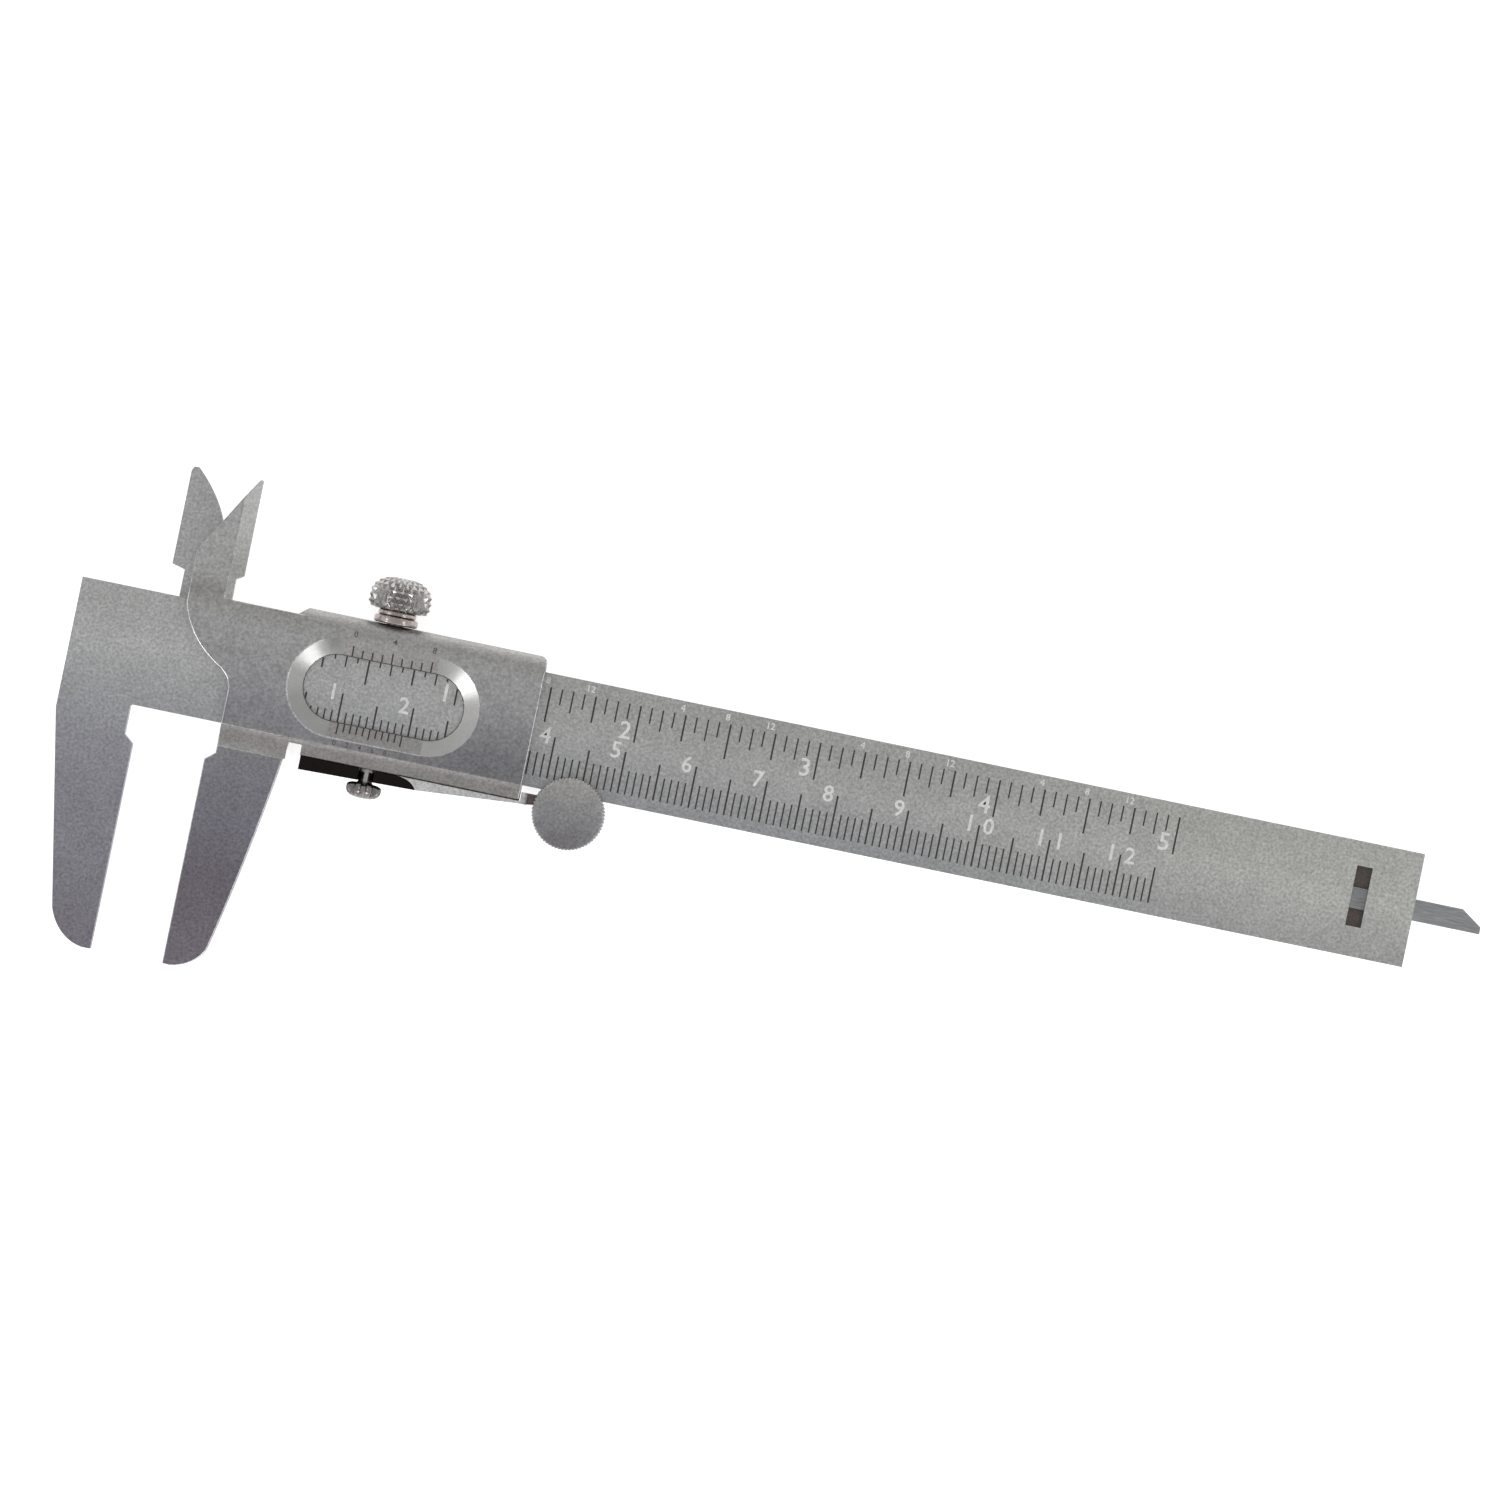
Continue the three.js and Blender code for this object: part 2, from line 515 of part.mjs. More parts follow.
let frame = join(
  boxPart,
  plate(plateShape, FRONT_PLANE, FRONT_FACE),
  plate(fangShape, HALF_GAP, FRONT_PLANE + 0.3),
  plate(jawShape, -RULE_HALF, RULE_HALF),
  jawRoot,
);
const rivetSpots = [];
for (const x of RIVET_XS) {
  rivetSpots.push([x, FLOOR_MID]);
  rivetSpots.push([x, WALL_MID]);
}
frame = cut(
  frame,
  slideKnife,
  plate(outline(windowInner), FRONT_PLANE - 0.5, FRONT_PLANE + WINDOW_LIP + 0.01),
  spread(windowInner, FRONT_PLANE + WINDOW_LIP, windowOuter, windowTop),
  roundPinY(LOCK_SHANK_R + RUN_GAP, LOCK_X, 0, WALL_LOW - 1, BOX_TOP + 1, SMALL_ROUND),
  roundPinY(THUMB_SCREW_R + RUN_GAP, THUMB_SCREW_X, 0, BOX_BOTTOM - 1, FLOOR_TOP + 1, SMALL_ROUND),
  ...GIB_SCREW_XS.map((x) => roundPinY(
    GIB_SCREW_R + SEAT_GAP, x, 0, WALL_LOW - 1, BOX_TOP + 1, SMALL_ROUND,
  )),
  ...rivetSpots.map((p) => roundPinZ(
    RIVET_R + SEAT_GAP, p[0], p[1], REAR_PLANE - 1, REAR_PLANE + RIVET_DEEP + RUN_GAP, SMALL_ROUND,
  )),
);

// ---- back plate, rivets, gib and its screws ----
const backShape = new THREE.Shape();
backShape.moveTo(FLOOR_START, BOX_BOTTOM);
backShape.lineTo(SLIDER_END, BOX_BOTTOM);
backShape.lineTo(SLIDER_END, BOX_TOP - 1);
backShape.absarc(SLIDER_END - 1, BOX_TOP - 1, 1, 0, Math.PI / 2, false);
backShape.lineTo(FLOOR_START, BOX_TOP);
backShape.closePath();
const backPlate = cut(
  plate(backShape, BACK_FACE, REAR_PLANE),
  ...rivetSpots.map((p) => roundPinZ(
    RIVET_R + SEAT_GAP, p[0], p[1], BACK_FACE - 1, REAR_PLANE + 1, SMALL_ROUND,
  )),
  roundPinZ(ROD_RIVET_R + SEAT_GAP, ROD_RIVET_X, ROD_Y, BACK_FACE - 1, REAR_PLANE + 1, SMALL_ROUND),
);

function rivet(x, y, shank, head, tip) {
  const low = BACK_FACE - RIVET_HEAD_HIGH;
  return turnedZ([
    [0, low], [head * 0.55, low + 0.03], [head * 0.87, low + 0.13], [head, BACK_FACE - 0.02],
    [head, BACK_FACE], [shank, BACK_FACE], [shank, tip], [0, tip],
  ], x, y, SMALL_ROUND);
}

const rodRivet = rivet(ROD_RIVET_X, ROD_Y, ROD_RIVET_R, ROD_RIVET_HEAD_R, ROD_FRONT - 0.35);

const gib = box(
  FLOOR_START + 0.3, SLIDER_END - 0.3, GIB_LOW, GIB_LOW + GIB_THICK, -RULE_HALF + 0.15, RULE_HALF - 0.15,
);

function gibScrew(x) {
  const body = roundPinY(GIB_SCREW_R, x, 0, WALL_LOW - PASS_GAP / 2, BOX_TOP - 0.1, SMALL_ROUND);
  return cut(body, box(x - 1, x + 1, BOX_TOP - 0.5, BOX_TOP + 1, -0.14, 0.14));
}

// ---- lock screw ----
const lockScrew = turnedY([
  [0, WALL_LOW - PASS_GAP / 2],
  [LOCK_SHANK_R, WALL_LOW - PASS_GAP / 2],
  [LOCK_SHANK_R, BOX_TOP + 0.05],
  [LOCK_NECK_R - 0.15, BOX_TOP + 0.05],
  [LOCK_NECK_R, BOX_TOP + 0.2],
  [LOCK_NECK_R, BOX_TOP + 0.95],
  [LOCK_NECK_R - 0.3, BOX_TOP + 1.15],
  [LOCK_NECK_R, BOX_TOP + 1.35],
  [LOCK_NECK_R, LOCK_HEAD_LOW],
  [LOCK_HEAD_R - 0.35, LOCK_HEAD_LOW],
  [LOCK_HEAD_R, LOCK_HEAD_LOW + 0.35],
  [LOCK_HEAD_R, LOCK_HEAD_TOP - 1.5],
  [LOCK_HEAD_R - 0.75, LOCK_HEAD_TOP - 0.65],
  [LOCK_HEAD_R - 2.2, LOCK_HEAD_TOP - 0.12],
  [0, LOCK_HEAD_TOP],
], LOCK_X, 0, 40);

// ---- depth rod and its rivet ----
const rodHalf = ROD_WIDE / 2;
const rodShape = outline([
  [ROD_START, ROD_Y - rodHalf], [ROD_END, ROD_Y - rodHalf], [ROD_END, ROD_Y - rodHalf + 1.0],
  [ROD_END - 2.9, ROD_Y + rodHalf], [ROD_START, ROD_Y + rodHalf],
]);
const depthRod = cut(
  join(
    plate(rodShape, ROD_BACK, ROD_FRONT),
    box(ROD_START, ROD_START + ROD_TAB, ROD_Y - rodHalf, ROD_Y + rodHalf, REAR_PLANE, ROD_FRONT),
  ),
  roundPinZ(ROD_RIVET_R + SEAT_GAP, ROD_RIVET_X, ROD_Y, REAR_PLANE - 1, ROD_FRONT - 0.3, SMALL_ROUND),
);

// ---- roller carrier: arm under the slider and a fork for the roller ----
function underEdge(x) {
  if (x < PAD_END) {
    return ARM_LOW_LEFT + ((ARM_LOW_MID - ARM_LOW_LEFT) * (x - FLOOR_START)) / (PAD_END - FLOOR_START);
  }
  const run = (x - PAD_END) / (ROOT_LEFT - PAD_END);
  return ARM_LOW_MID + (ARM_LOW_RIGHT - ARM_LOW_MID) * run;
}

const armWall = plate(outline([
  [FLOOR_START + 0.1, ARM_TOP], [FLOOR_START + 0.1, underEdge(FLOOR_START + 0.1)],
  [PAD_END, underEdge(PAD_END)], [PAD_END, ARM_TOP],
]), ARM_BACK, ARM_WALL);
const armFlange = box(
  FLOOR_START + 0.1, PAD_CURVE_START + 0.5, ARM_TOP - ARM_FLANGE, ARM_TOP, ARM_BACK, ARM_FLANGE_FRONT,
);
const armShape = new THREE.Shape();
armShape.moveTo(PAD_CURVE_START, ARM_TOP);
armShape.quadraticCurveTo(PAD_CURVE_START + 2.1, ARM_TOP - 0.1, PAD_END, ARM_LOW_MID);
armShape.lineTo(ROOT_LEFT, ARM_LOW_RIGHT);
armShape.lineTo(ROOT_RIGHT, ARM_LOW_RIGHT);
armShape.lineTo(ROOT_RIGHT, PRONG_TOP);
armShape.lineTo(ROOT_LEFT, PRONG_TOP);
armShape.lineTo(ROOT_LEFT, ARM_TOP);
armShape.closePath();

const prongShape = new THREE.Shape();
prongShape.moveTo(ROOT_RIGHT - 0.4, PRONG_TOP);
prongShape.lineTo(ROLLER_X, PRONG_TOP);
prongShape.absarc(ROLLER_X, ROLLER_Y, PRONG_TOP - ROLLER_Y, Math.PI / 2, -Math.PI / 2, true);
prongShape.lineTo(ROLLER_X - 1.6, ROLLER_Y - 1.5);
prongShape.lineTo(ROOT_RIGHT + 1.1, ARM_LOW_RIGHT + 0.2);
prongShape.lineTo(ROOT_RIGHT - 0.4, ARM_LOW_RIGHT);
prongShape.closePath();

const screwNotch = box(
  THUMB_SCREW_X - THUMB_SCREW_R - PASS_GAP, THUMB_SCREW_X + THUMB_SCREW_R + PASS_GAP,
  ARM_LOW_LEFT - 1, BOX_BOTTOM + 0.1, -THUMB_SCREW_R - PASS_GAP, ARM_FRONT + 1,
);
const carrier = cut(
  join(
    armWall,
    armFlange,
    plate(armShape, ARM_BACK, ARM_FRONT),
    plate(prongShape, PRONG_IN, PRONG_OUT),
    plate(prongShape, -PRONG_OUT, -PRONG_IN),
  ),
  screwNotch,
  roundPinZ(AXLE_R + RUN_GAP, ROLLER_X, ROLLER_Y, -PRONG_OUT - 1, PRONG_OUT + 1, SMALL_ROUND),
);

// ---- dark pad in front of the arm ----
const padShape = new THREE.Shape();
padShape.moveTo(FLOOR_START + 0.1, ARM_TOP);
padShape.lineTo(FLOOR_START + 0.1, underEdge(FLOOR_START + 0.1));
padShape.lineTo(PAD_END - 0.06, underEdge(PAD_END));
padShape.quadraticCurveTo(PAD_CURVE_START + 2.04, ARM_TOP - 0.1, PAD_CURVE_START - 0.06, ARM_TOP);
padShape.closePath();
const pad = cut(
  plate(padShape, ARM_WALL + ARM_GAP, ARM_FRONT - 0.1),
  screwNotch,
  box(FLOOR_START, PAD_CURVE_START + 1, ARM_TOP - ARM_FLANGE - ARM_GAP, ARM_TOP + 1,
    ARM_WALL - 1, ARM_FLANGE_FRONT + ARM_GAP),
);

// ---- small knurled screw that clamps the carrier ----
const thumbHeadTop = ARM_LOW_LEFT - 0.05;
const thumbHeadLow = thumbHeadTop - THUMB_HEAD_HIGH;
const carrierScrew = turnedY([
  [0, thumbHeadLow],
  [THUMB_HEAD_R - 1.1, thumbHeadLow + 0.08],
  [THUMB_HEAD_R - 0.35, thumbHeadLow + 0.5],
  [THUMB_HEAD_R, thumbHeadLow + 1.0],
  [THUMB_HEAD_R, thumbHeadTop - 0.3],
  [THUMB_HEAD_R - 0.35, thumbHeadTop],
  [THUMB_SCREW_R, thumbHeadTop],
  [THUMB_SCREW_R, FLOOR_TOP - 0.2],
  [0, FLOOR_TOP - 0.2],
], THUMB_SCREW_X, 0, 32);

// ---- thumb roller: two discs and a hub on one axle ----
function disc(back, front) {
  return turnedZ([
    [AXLE_R + SEAT_GAP, back], [ROLLER_R - 0.25, back], [ROLLER_R, back + 0.25],
    [ROLLER_R, front - 0.25], [ROLLER_R - 0.25, front], [AXLE_R + SEAT_GAP, front],
    [AXLE_R + SEAT_GAP, back],
  ], ROLLER_X, ROLLER_Y, ROUND);
}
const hub = turnedZ([
  [AXLE_R + SEAT_GAP, -HUB_HALF], [HUB_R, -HUB_HALF], [HUB_R, HUB_HALF],
  [AXLE_R + SEAT_GAP, HUB_HALF], [AXLE_R + SEAT_GAP, -HUB_HALF],
], ROLLER_X, ROLLER_Y, ROUND);
const axle = roundPinZ(AXLE_R, ROLLER_X, ROLLER_Y, -DISC_OUTER + 0.1, DISC_OUTER - 0.1, SMALL_ROUND);

// ---- the assembly ----
const group = new THREE.Group();
group.name = 'vernier_caliper';

function addNode(name, geometry, colour, alongX) {
  const bare = geometry.clone();
  bare.deleteAttribute('normal');
  bare.deleteAttribute('uv');
  const merged = mergeVertices(bare, 1e-5);
  merged.translate(alongX, DATUM_DOWN, 0);
  merged.computeVertexNormals();
  const mesh = new THREE.Mesh(merged, new THREE.MeshStandardMaterial({
    color: colour, metalness: 0.9, roughness: 0.45, flatShading: true,
  }));
  mesh.name = name;
  group.add(mesh);
}

const STEEL = 0xb4b6b0;
const DARKER = 0x8e8d93;
const NICKEL = 0xb0aaa2;
const BLACK = 0x17151a;

addNode('rule', rule, STEEL, 0);
addNode('rod_keeper', keeper, DARKER, 0);
keeperScrewYs.forEach((y, i) => addNode(`keeper_screw_${i + 1}`, keeperScrew(y), NICKEL, 0));
addNode('slider_frame', frame, DARKER, OPENING);
addNode('slider_back_plate', backPlate, DARKER, OPENING);
rivetSpots.forEach((p, i) => addNode(
  `back_rivet_${i + 1}`, rivet(p[0], p[1], RIVET_R, RIVET_HEAD_R, REAR_PLANE + RIVET_DEEP), NICKEL, OPENING,
));
addNode('gib_strip', gib, NICKEL, OPENING);
GIB_SCREW_XS.forEach((x, i) => addNode(`gib_screw_${i + 1}`, gibScrew(x), NICKEL, OPENING));
addNode('lock_screw', lockScrew, NICKEL, OPENING);
addNode('depth_rod', depthRod, STEEL, OPENING);
addNode('depth_rod_rivet', rodRivet, NICKEL, OPENING);
addNode('roller_carrier', carrier, STEEL, OPENING);
addNode('carrier_pad', pad, BLACK, OPENING);
addNode('carrier_screw', carrierScrew, NICKEL, OPENING);
addNode('roller_front_disc', disc(DISC_INNER, DISC_OUTER), DARKER, OPENING);
addNode('roller_rear_disc', disc(-DISC_OUTER, -DISC_INNER), DARKER, OPENING);
addNode('roller_hub', hub, DARKER, OPENING);
addNode('roller_axle', axle, NICKEL, OPENING);

export default group;
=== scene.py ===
import math

import bmesh
import bpy
import numpy as np
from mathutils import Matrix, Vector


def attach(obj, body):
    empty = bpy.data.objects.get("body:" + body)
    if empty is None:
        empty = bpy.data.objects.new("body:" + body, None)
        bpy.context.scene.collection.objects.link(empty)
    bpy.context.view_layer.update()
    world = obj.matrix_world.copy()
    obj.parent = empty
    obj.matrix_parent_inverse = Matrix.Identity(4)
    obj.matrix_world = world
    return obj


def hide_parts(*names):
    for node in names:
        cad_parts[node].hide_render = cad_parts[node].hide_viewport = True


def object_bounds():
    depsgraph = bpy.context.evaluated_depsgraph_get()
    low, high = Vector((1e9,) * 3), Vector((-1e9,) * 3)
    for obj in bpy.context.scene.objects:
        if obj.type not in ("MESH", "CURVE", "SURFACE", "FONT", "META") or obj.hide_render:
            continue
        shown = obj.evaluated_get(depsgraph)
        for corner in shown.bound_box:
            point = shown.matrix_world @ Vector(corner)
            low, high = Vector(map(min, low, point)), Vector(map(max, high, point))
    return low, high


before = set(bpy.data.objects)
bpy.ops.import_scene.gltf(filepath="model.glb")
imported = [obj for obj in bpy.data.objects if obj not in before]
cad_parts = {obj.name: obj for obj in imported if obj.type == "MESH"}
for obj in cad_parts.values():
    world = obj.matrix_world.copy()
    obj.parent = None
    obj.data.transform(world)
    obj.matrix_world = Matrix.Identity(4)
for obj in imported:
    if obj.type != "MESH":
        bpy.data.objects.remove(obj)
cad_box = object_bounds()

# ---------------------------------------------------------------------------
# Studio: the caliper lies on its back on a white table in a soft white room,
# with two upright light panels in front of its jaws, one left and one right.
# ---------------------------------------------------------------------------
MM = 0.001
scene = bpy.context.scene
scene.view_settings.view_transform = "Standard"

LENS = 250.0
SENSOR = 36.0
VIEW_WIDTH = 207.76 * MM
VIEW_CENTRE = (83.98 * MM, 31.17 * MM)
VIEW_ROLL = 11.69
FACE_HEIGHT = 1.6 * MM

camera_data = bpy.data.cameras.new("studio_camera")
camera_data.lens = LENS
camera_data.sensor_width = SENSOR
camera_data.clip_end = 20.0
camera = bpy.data.objects.new("studio_camera", camera_data)
camera.location = (*VIEW_CENTRE, FACE_HEIGHT + VIEW_WIDTH * LENS / SENSOR)
camera.rotation_euler = (0.0, 0.0, math.radians(VIEW_ROLL))
scene.collection.objects.link(camera)
scene.camera = camera


def light_panel(name, target, azimuth, elevation, distance, size, watts, tint):
    """Flat lamp on a sphere round the target, at that azimuth and elevation, turned to face it."""
    lamp = bpy.data.lights.new(name, "AREA")
    lamp.shape = "RECTANGLE"
    lamp.size, lamp.size_y = size
    lamp.energy = watts
    lamp.color = tint
    obj = bpy.data.objects.new(name, lamp)
    az, el = math.radians(azimuth), math.radians(elevation)
    way = np.array([math.cos(el) * math.cos(az), math.cos(el) * math.sin(az), math.sin(el)])
    obj.location = np.array(target) + distance * way
    obj.rotation_euler = (math.pi / 2 - el, 0.0, az + math.pi / 2)
    obj.visible_camera = False
    scene.collection.objects.link(obj)
    return obj


SLIDER_MIDDLE = (0.033, 0.028, 0.0)
light_panel("panel_left", SLIDER_MIDDLE, -138.6, 30.0, 0.7, (0.27, 0.20), 0.78, (1.0, 1.0, 1.0))
light_panel("panel_right", SLIDER_MIDDLE, -43.0, 30.0, 0.7, (0.27, 0.20), 0.72, (1.0, 1.0, 1.0))
light_panel("glint_west", SLIDER_MIDDLE, 180.0, 44.0, 0.7, (0.12, 0.08), 0.11, (1.0, 0.97, 0.95))
light_panel("glint_east", SLIDER_MIDDLE, 0.0, 46.0, 0.7, (0.12, 0.08), 0.11, (1.0, 0.98, 0.95))

world = bpy.data.worlds.new("studio_room")
world.use_nodes = True
scene.world = world
room = world.node_tree
room.nodes.clear()
room_out = room.nodes.new("ShaderNodeOutputWorld")
room_light = room.nodes.new("ShaderNodeBackground")
room_way = room.nodes.new("ShaderNodeTexCoord")
room_split = room.nodes.new("ShaderNodeSeparateXYZ")
room_ramp = room.nodes.new("ShaderNodeValToRGB")
room_ramp.color_ramp.elements[0].position = 0.0
room_ramp.color_ramp.elements[0].color = (0.95, 0.94, 0.94, 1.0)
room_ramp.color_ramp.elements[1].position = 1.0
room_ramp.color_ramp.elements[1].color = (0.50, 0.50, 0.50, 1.0)
room.links.new(room_way.outputs["Generated"], room_split.inputs[0])
room.links.new(room_split.outputs["Z"], room_ramp.inputs["Fac"])
room.links.new(room_ramp.outputs["Color"], room_light.inputs["Color"])
room.links.new(room_light.outputs["Background"], room_out.inputs["Surface"])
room_light.inputs["Strength"].default_value = 1.0

FLOOR_Z = float(cad_box[0][2]) - 0.02 * MM
FLOOR_HALF = 2.5
floor_mesh = bpy.data.meshes.new("table_top")
floor_mesh.from_pydata(
    [(-FLOOR_HALF, -FLOOR_HALF, FLOOR_Z), (FLOOR_HALF, -FLOOR_HALF, FLOOR_Z),
     (FLOOR_HALF, FLOOR_HALF, FLOOR_Z), (-FLOOR_HALF, FLOOR_HALF, FLOOR_Z)],
    [], [(0, 1, 2, 3)],
)
table_top = bpy.data.objects.new("table_top", floor_mesh)
scene.collection.objects.link(table_top)
paper = bpy.data.materials.new("white_table")
paper.use_nodes = True
paper_shader = paper.node_tree.nodes["Principled BSDF"]
paper_shader.inputs["Base Color"].default_value = (0.92, 0.92, 0.92, 1.0)
paper_shader.inputs["Roughness"].default_value = 0.9
paper_shader.inputs["Emission Color"].default_value = (1.0, 1.0, 1.0, 1.0)
paper_shader.inputs["Emission Strength"].default_value = 0.62
table_top.data.materials.append(paper)

# ---------------------------------------------------------------------------
# Rule: one flat bar of stainless steel, blanked with its head, outside jaw
# and inside jaw, ground flat and blasted satin, with its edges just broken.
# ---------------------------------------------------------------------------
EDGE_Y = 20.0          # rule's lower edge above the origin
OPENING = 10.2         # rest opening of the jaws
RULE_FACE = 1.6        # height of the graduated face


def tone_along(tree, place, axis, stops):
    """Colour that changes along one direction of the object. Stops are pairs of a place in
    millimetres and a colour; between two stops the colour blends evenly."""
    split = tree.nodes.new("ShaderNodeSeparateXYZ")
    tree.links.new(place.outputs["Object"], split.inputs[0])
    first, last = stops[0][0], stops[-1][0]
    share = tree.nodes.new("ShaderNodeMapRange")
    share.inputs["From Min"].default_value = first * MM
    share.inputs["From Max"].default_value = last * MM
    tree.links.new(split.outputs[axis], share.inputs["Value"])
    ramp = tree.nodes.new("ShaderNodeValToRGB")
    edge = ramp.color_ramp
    while len(edge.elements) < len(stops):
        edge.elements.new(0.5)
    for element, (at, colour) in zip(edge.elements, stops):
        element.position = (at - first) / (last - first)
        element.color = (*colour, 1.0)
    tree.links.new(share.outputs["Result"], ramp.inputs["Fac"])
    return ramp.outputs["Color"]


def times(tree, first, second):
    """Product of two colours."""
    mix = tree.nodes.new("ShaderNodeMix")
    mix.data_type = "RGBA"
    mix.blend_type = "MULTIPLY"
    mix.inputs["Factor"].default_value = 1.0
    tree.links.new(first, mix.inputs["A"])
    tree.links.new(second, mix.inputs["B"])
    return mix.outputs["Result"]


def grey(value):
    """One value as a colour."""
    return (value, value, value)


def metal(name, rough, down, across=None, speckle=0.22, grain=(2.6, 2.6, 2.6), lift=0.14,
          corner=None):
    """Ground and blasted metal. Colour stops run along y and, where given, along x; many callers
    use them for painted light and shade across the piece. Where a corner is given, a painted shade
    patch darkens where both its x and its y stops are dark. A fine noise speckles colour and
    roughness and lifts the surface a little; a coarse one mottles it."""
    material = bpy.data.materials.new(name)
    material.use_nodes = True
    tree = material.node_tree
    shader = tree.nodes["Principled BSDF"]
    shader.inputs["Metallic"].default_value = 1.0
    place = tree.nodes.new("ShaderNodeTexCoord")
    colour = tone_along(tree, place, "Y", down)
    if across:
        colour = times(tree, colour, tone_along(tree, place, "X", across))
    if corner:
        patch = tree.nodes.new("ShaderNodeMix")
        patch.data_type = "RGBA"
        patch.blend_type = "LIGHTEN"
        patch.inputs["Factor"].default_value = 1.0
        tree.links.new(tone_along(tree, place, "X", corner[0]), patch.inputs["A"])
        tree.links.new(tone_along(tree, place, "Y", corner[1]), patch.inputs["B"])
        colour = times(tree, colour, patch.outputs["Result"])
    stretch = tree.nodes.new("ShaderNodeMapping")
    stretch.inputs["Scale"].default_value = tuple(g / MM for g in grain)
    tree.links.new(place.outputs["Object"], stretch.inputs["Vector"])
    fine = tree.nodes.new("ShaderNodeTexNoise")
    fine.inputs["Scale"].default_value = 1.0
    fine.inputs["Detail"].default_value = 2.0
    fine.inputs["Roughness"].default_value = 0.6
    tree.links.new(stretch.outputs["Vector"], fine.inputs["Vector"])
    mottle = tree.nodes.new("ShaderNodeTexNoise")
    mottle.inputs["Scale"].default_value = 350.0
    mottle.inputs["Detail"].default_value = 3.0
    tree.links.new(place.outputs["Object"], mottle.inputs["Vector"])
    for noise, share, low, high in ((fine, speckle, 0.3, 0.7), (mottle, 0.04, 0.35, 0.65)):
        spread = tree.nodes.new("ShaderNodeMapRange")
        spread.inputs["From Min"].default_value = low
        spread.inputs["From Max"].default_value = high
        spread.inputs["To Min"].default_value = 1.0 - share
        spread.inputs["To Max"].default_value = 1.0 + share
        tree.links.new(noise.outputs["Fac"], spread.inputs["Value"])
        colour = times(tree, colour, spread.outputs["Result"])
    tree.links.new(colour, shader.inputs["Base Color"])
    dull = tree.nodes.new("ShaderNodeMapRange")
    dull.inputs["To Min"].default_value = rough - 0.06
    dull.inputs["To Max"].default_value = rough + 0.06
    tree.links.new(fine.outputs["Fac"], dull.inputs["Value"])
    tree.links.new(dull.outputs["Result"], shader.inputs["Roughness"])
    bump = tree.nodes.new("ShaderNodeBump")
    bump.inputs["Strength"].default_value = lift
    bump.inputs["Distance"].default_value = 0.02 * MM
    tree.links.new(fine.outputs["Fac"], bump.inputs["Height"])
    tree.links.new(bump.outputs["Normal"], shader.inputs["Normal"])
    return material


# Painted light and shade in the rule's colour: it darkens toward the jaws' tips and lightens over
# the graduated face, and along x it dips between the head and the middle and brightens toward the
# far end.
rule_satin_painted_light = metal("rule_satin_painted_light", 0.46, (
    (-14.0, (0.272, 0.257, 0.292)), (-1.0, (0.335, 0.328, 0.370)), (7.0, (0.340, 0.335, 0.376)),
    (15.0, (0.395, 0.398, 0.434)), (21.0, (0.475, 0.480, 0.497)), (28.0, (0.582, 0.587, 0.584)),
    (34.0, (0.535, 0.535, 0.533)), (40.0, (0.545, 0.545, 0.545)), (54.0, (0.520, 0.520, 0.520)),
), across=(
    (0.0, grey(1.0)), (30.0, grey(0.94)), (62.0, (0.918, 0.918, 0.913)),
    (110.0, (0.934, 0.938, 0.920)), (165.0, (1.048, 1.058, 1.000)),
))

WELD_REACH = 0.0004    # corners nearer than this are one corner
FLAT_WITHIN = 0.4      # degrees between triangles of one flat face
SHARP_FROM = 25.0      # degrees from which an edge is shaded sharp


def softened(node, name, radius, finish, body, rolled=SHARP_FROM, edge_finish=None,
             leave=()):
    """Copy of a solid: its loose triangles are welded, flat faces made whole, and each edge
    sharper than the rolled angle is rolled over to the radius, in a separate edge finish if one
    is given, which can carry a painted highlight.
    Edges whose middle is in a leave box, low x, high x, low y, high y, stay as they are."""
    form = bmesh.new()
    form.from_mesh(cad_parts[node].data)
    bmesh.ops.remove_doubles(form, verts=form.verts, dist=WELD_REACH * MM)
    bmesh.ops.dissolve_limit(form, angle_limit=math.radians(FLAT_WITHIN), verts=form.verts,
                             edges=form.edges)
    mesh = bpy.data.meshes.new(name)
    form.to_mesh(mesh)
    form.free()
    mesh.polygons.foreach_set("use_smooth", np.ones(len(mesh.polygons), dtype=bool))
    mesh.set_sharp_from_angle(angle=math.radians(rolled))
    count = len(mesh.edges)
    roll = np.zeros(count, dtype=bool)
    mesh.attributes["sharp_edge"].data.foreach_get("value", roll)
    ends = np.empty(count * 2, dtype=int)
    mesh.edges.foreach_get("vertices", ends)
    corners = np.empty(len(mesh.vertices) * 3)
    mesh.vertices.foreach_get("co", corners)
    middle = corners.reshape(-1, 3)[ends.reshape(-1, 2)].mean(axis=1) / MM
    x, y = middle[:, 0], middle[:, 1]
    for x0, x1, y0, y1 in leave:
        roll &= ~((x > x0) & (x < x1) & (y > y0) & (y < y1))
    weight = mesh.attributes.new("bevel_weight_edge", "FLOAT", "EDGE")
    weight.data.foreach_set("value", roll.astype(np.float32))
    mesh.set_sharp_from_angle(angle=math.radians(SHARP_FROM))
    mesh.materials.clear()
    mesh.materials.append(finish)
    obj = bpy.data.objects.new(name, mesh)
    scene.collection.objects.link(obj)
    edge = obj.modifiers.new("broken_edges", "BEVEL")
    edge.width = radius * MM
    edge.segments = 2
    edge.limit_method = "WEIGHT"
    if edge_finish:
        mesh.materials.append(edge_finish)
        edge.material = 1
    even = obj.modifiers.new("even_faces", "WEIGHTED_NORMAL")
    even.keep_sharp = True
    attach(obj, body)
    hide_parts(node)
    return obj


softened("rule", "rule_body", 0.14, rule_satin_painted_light, "fixed_rule")

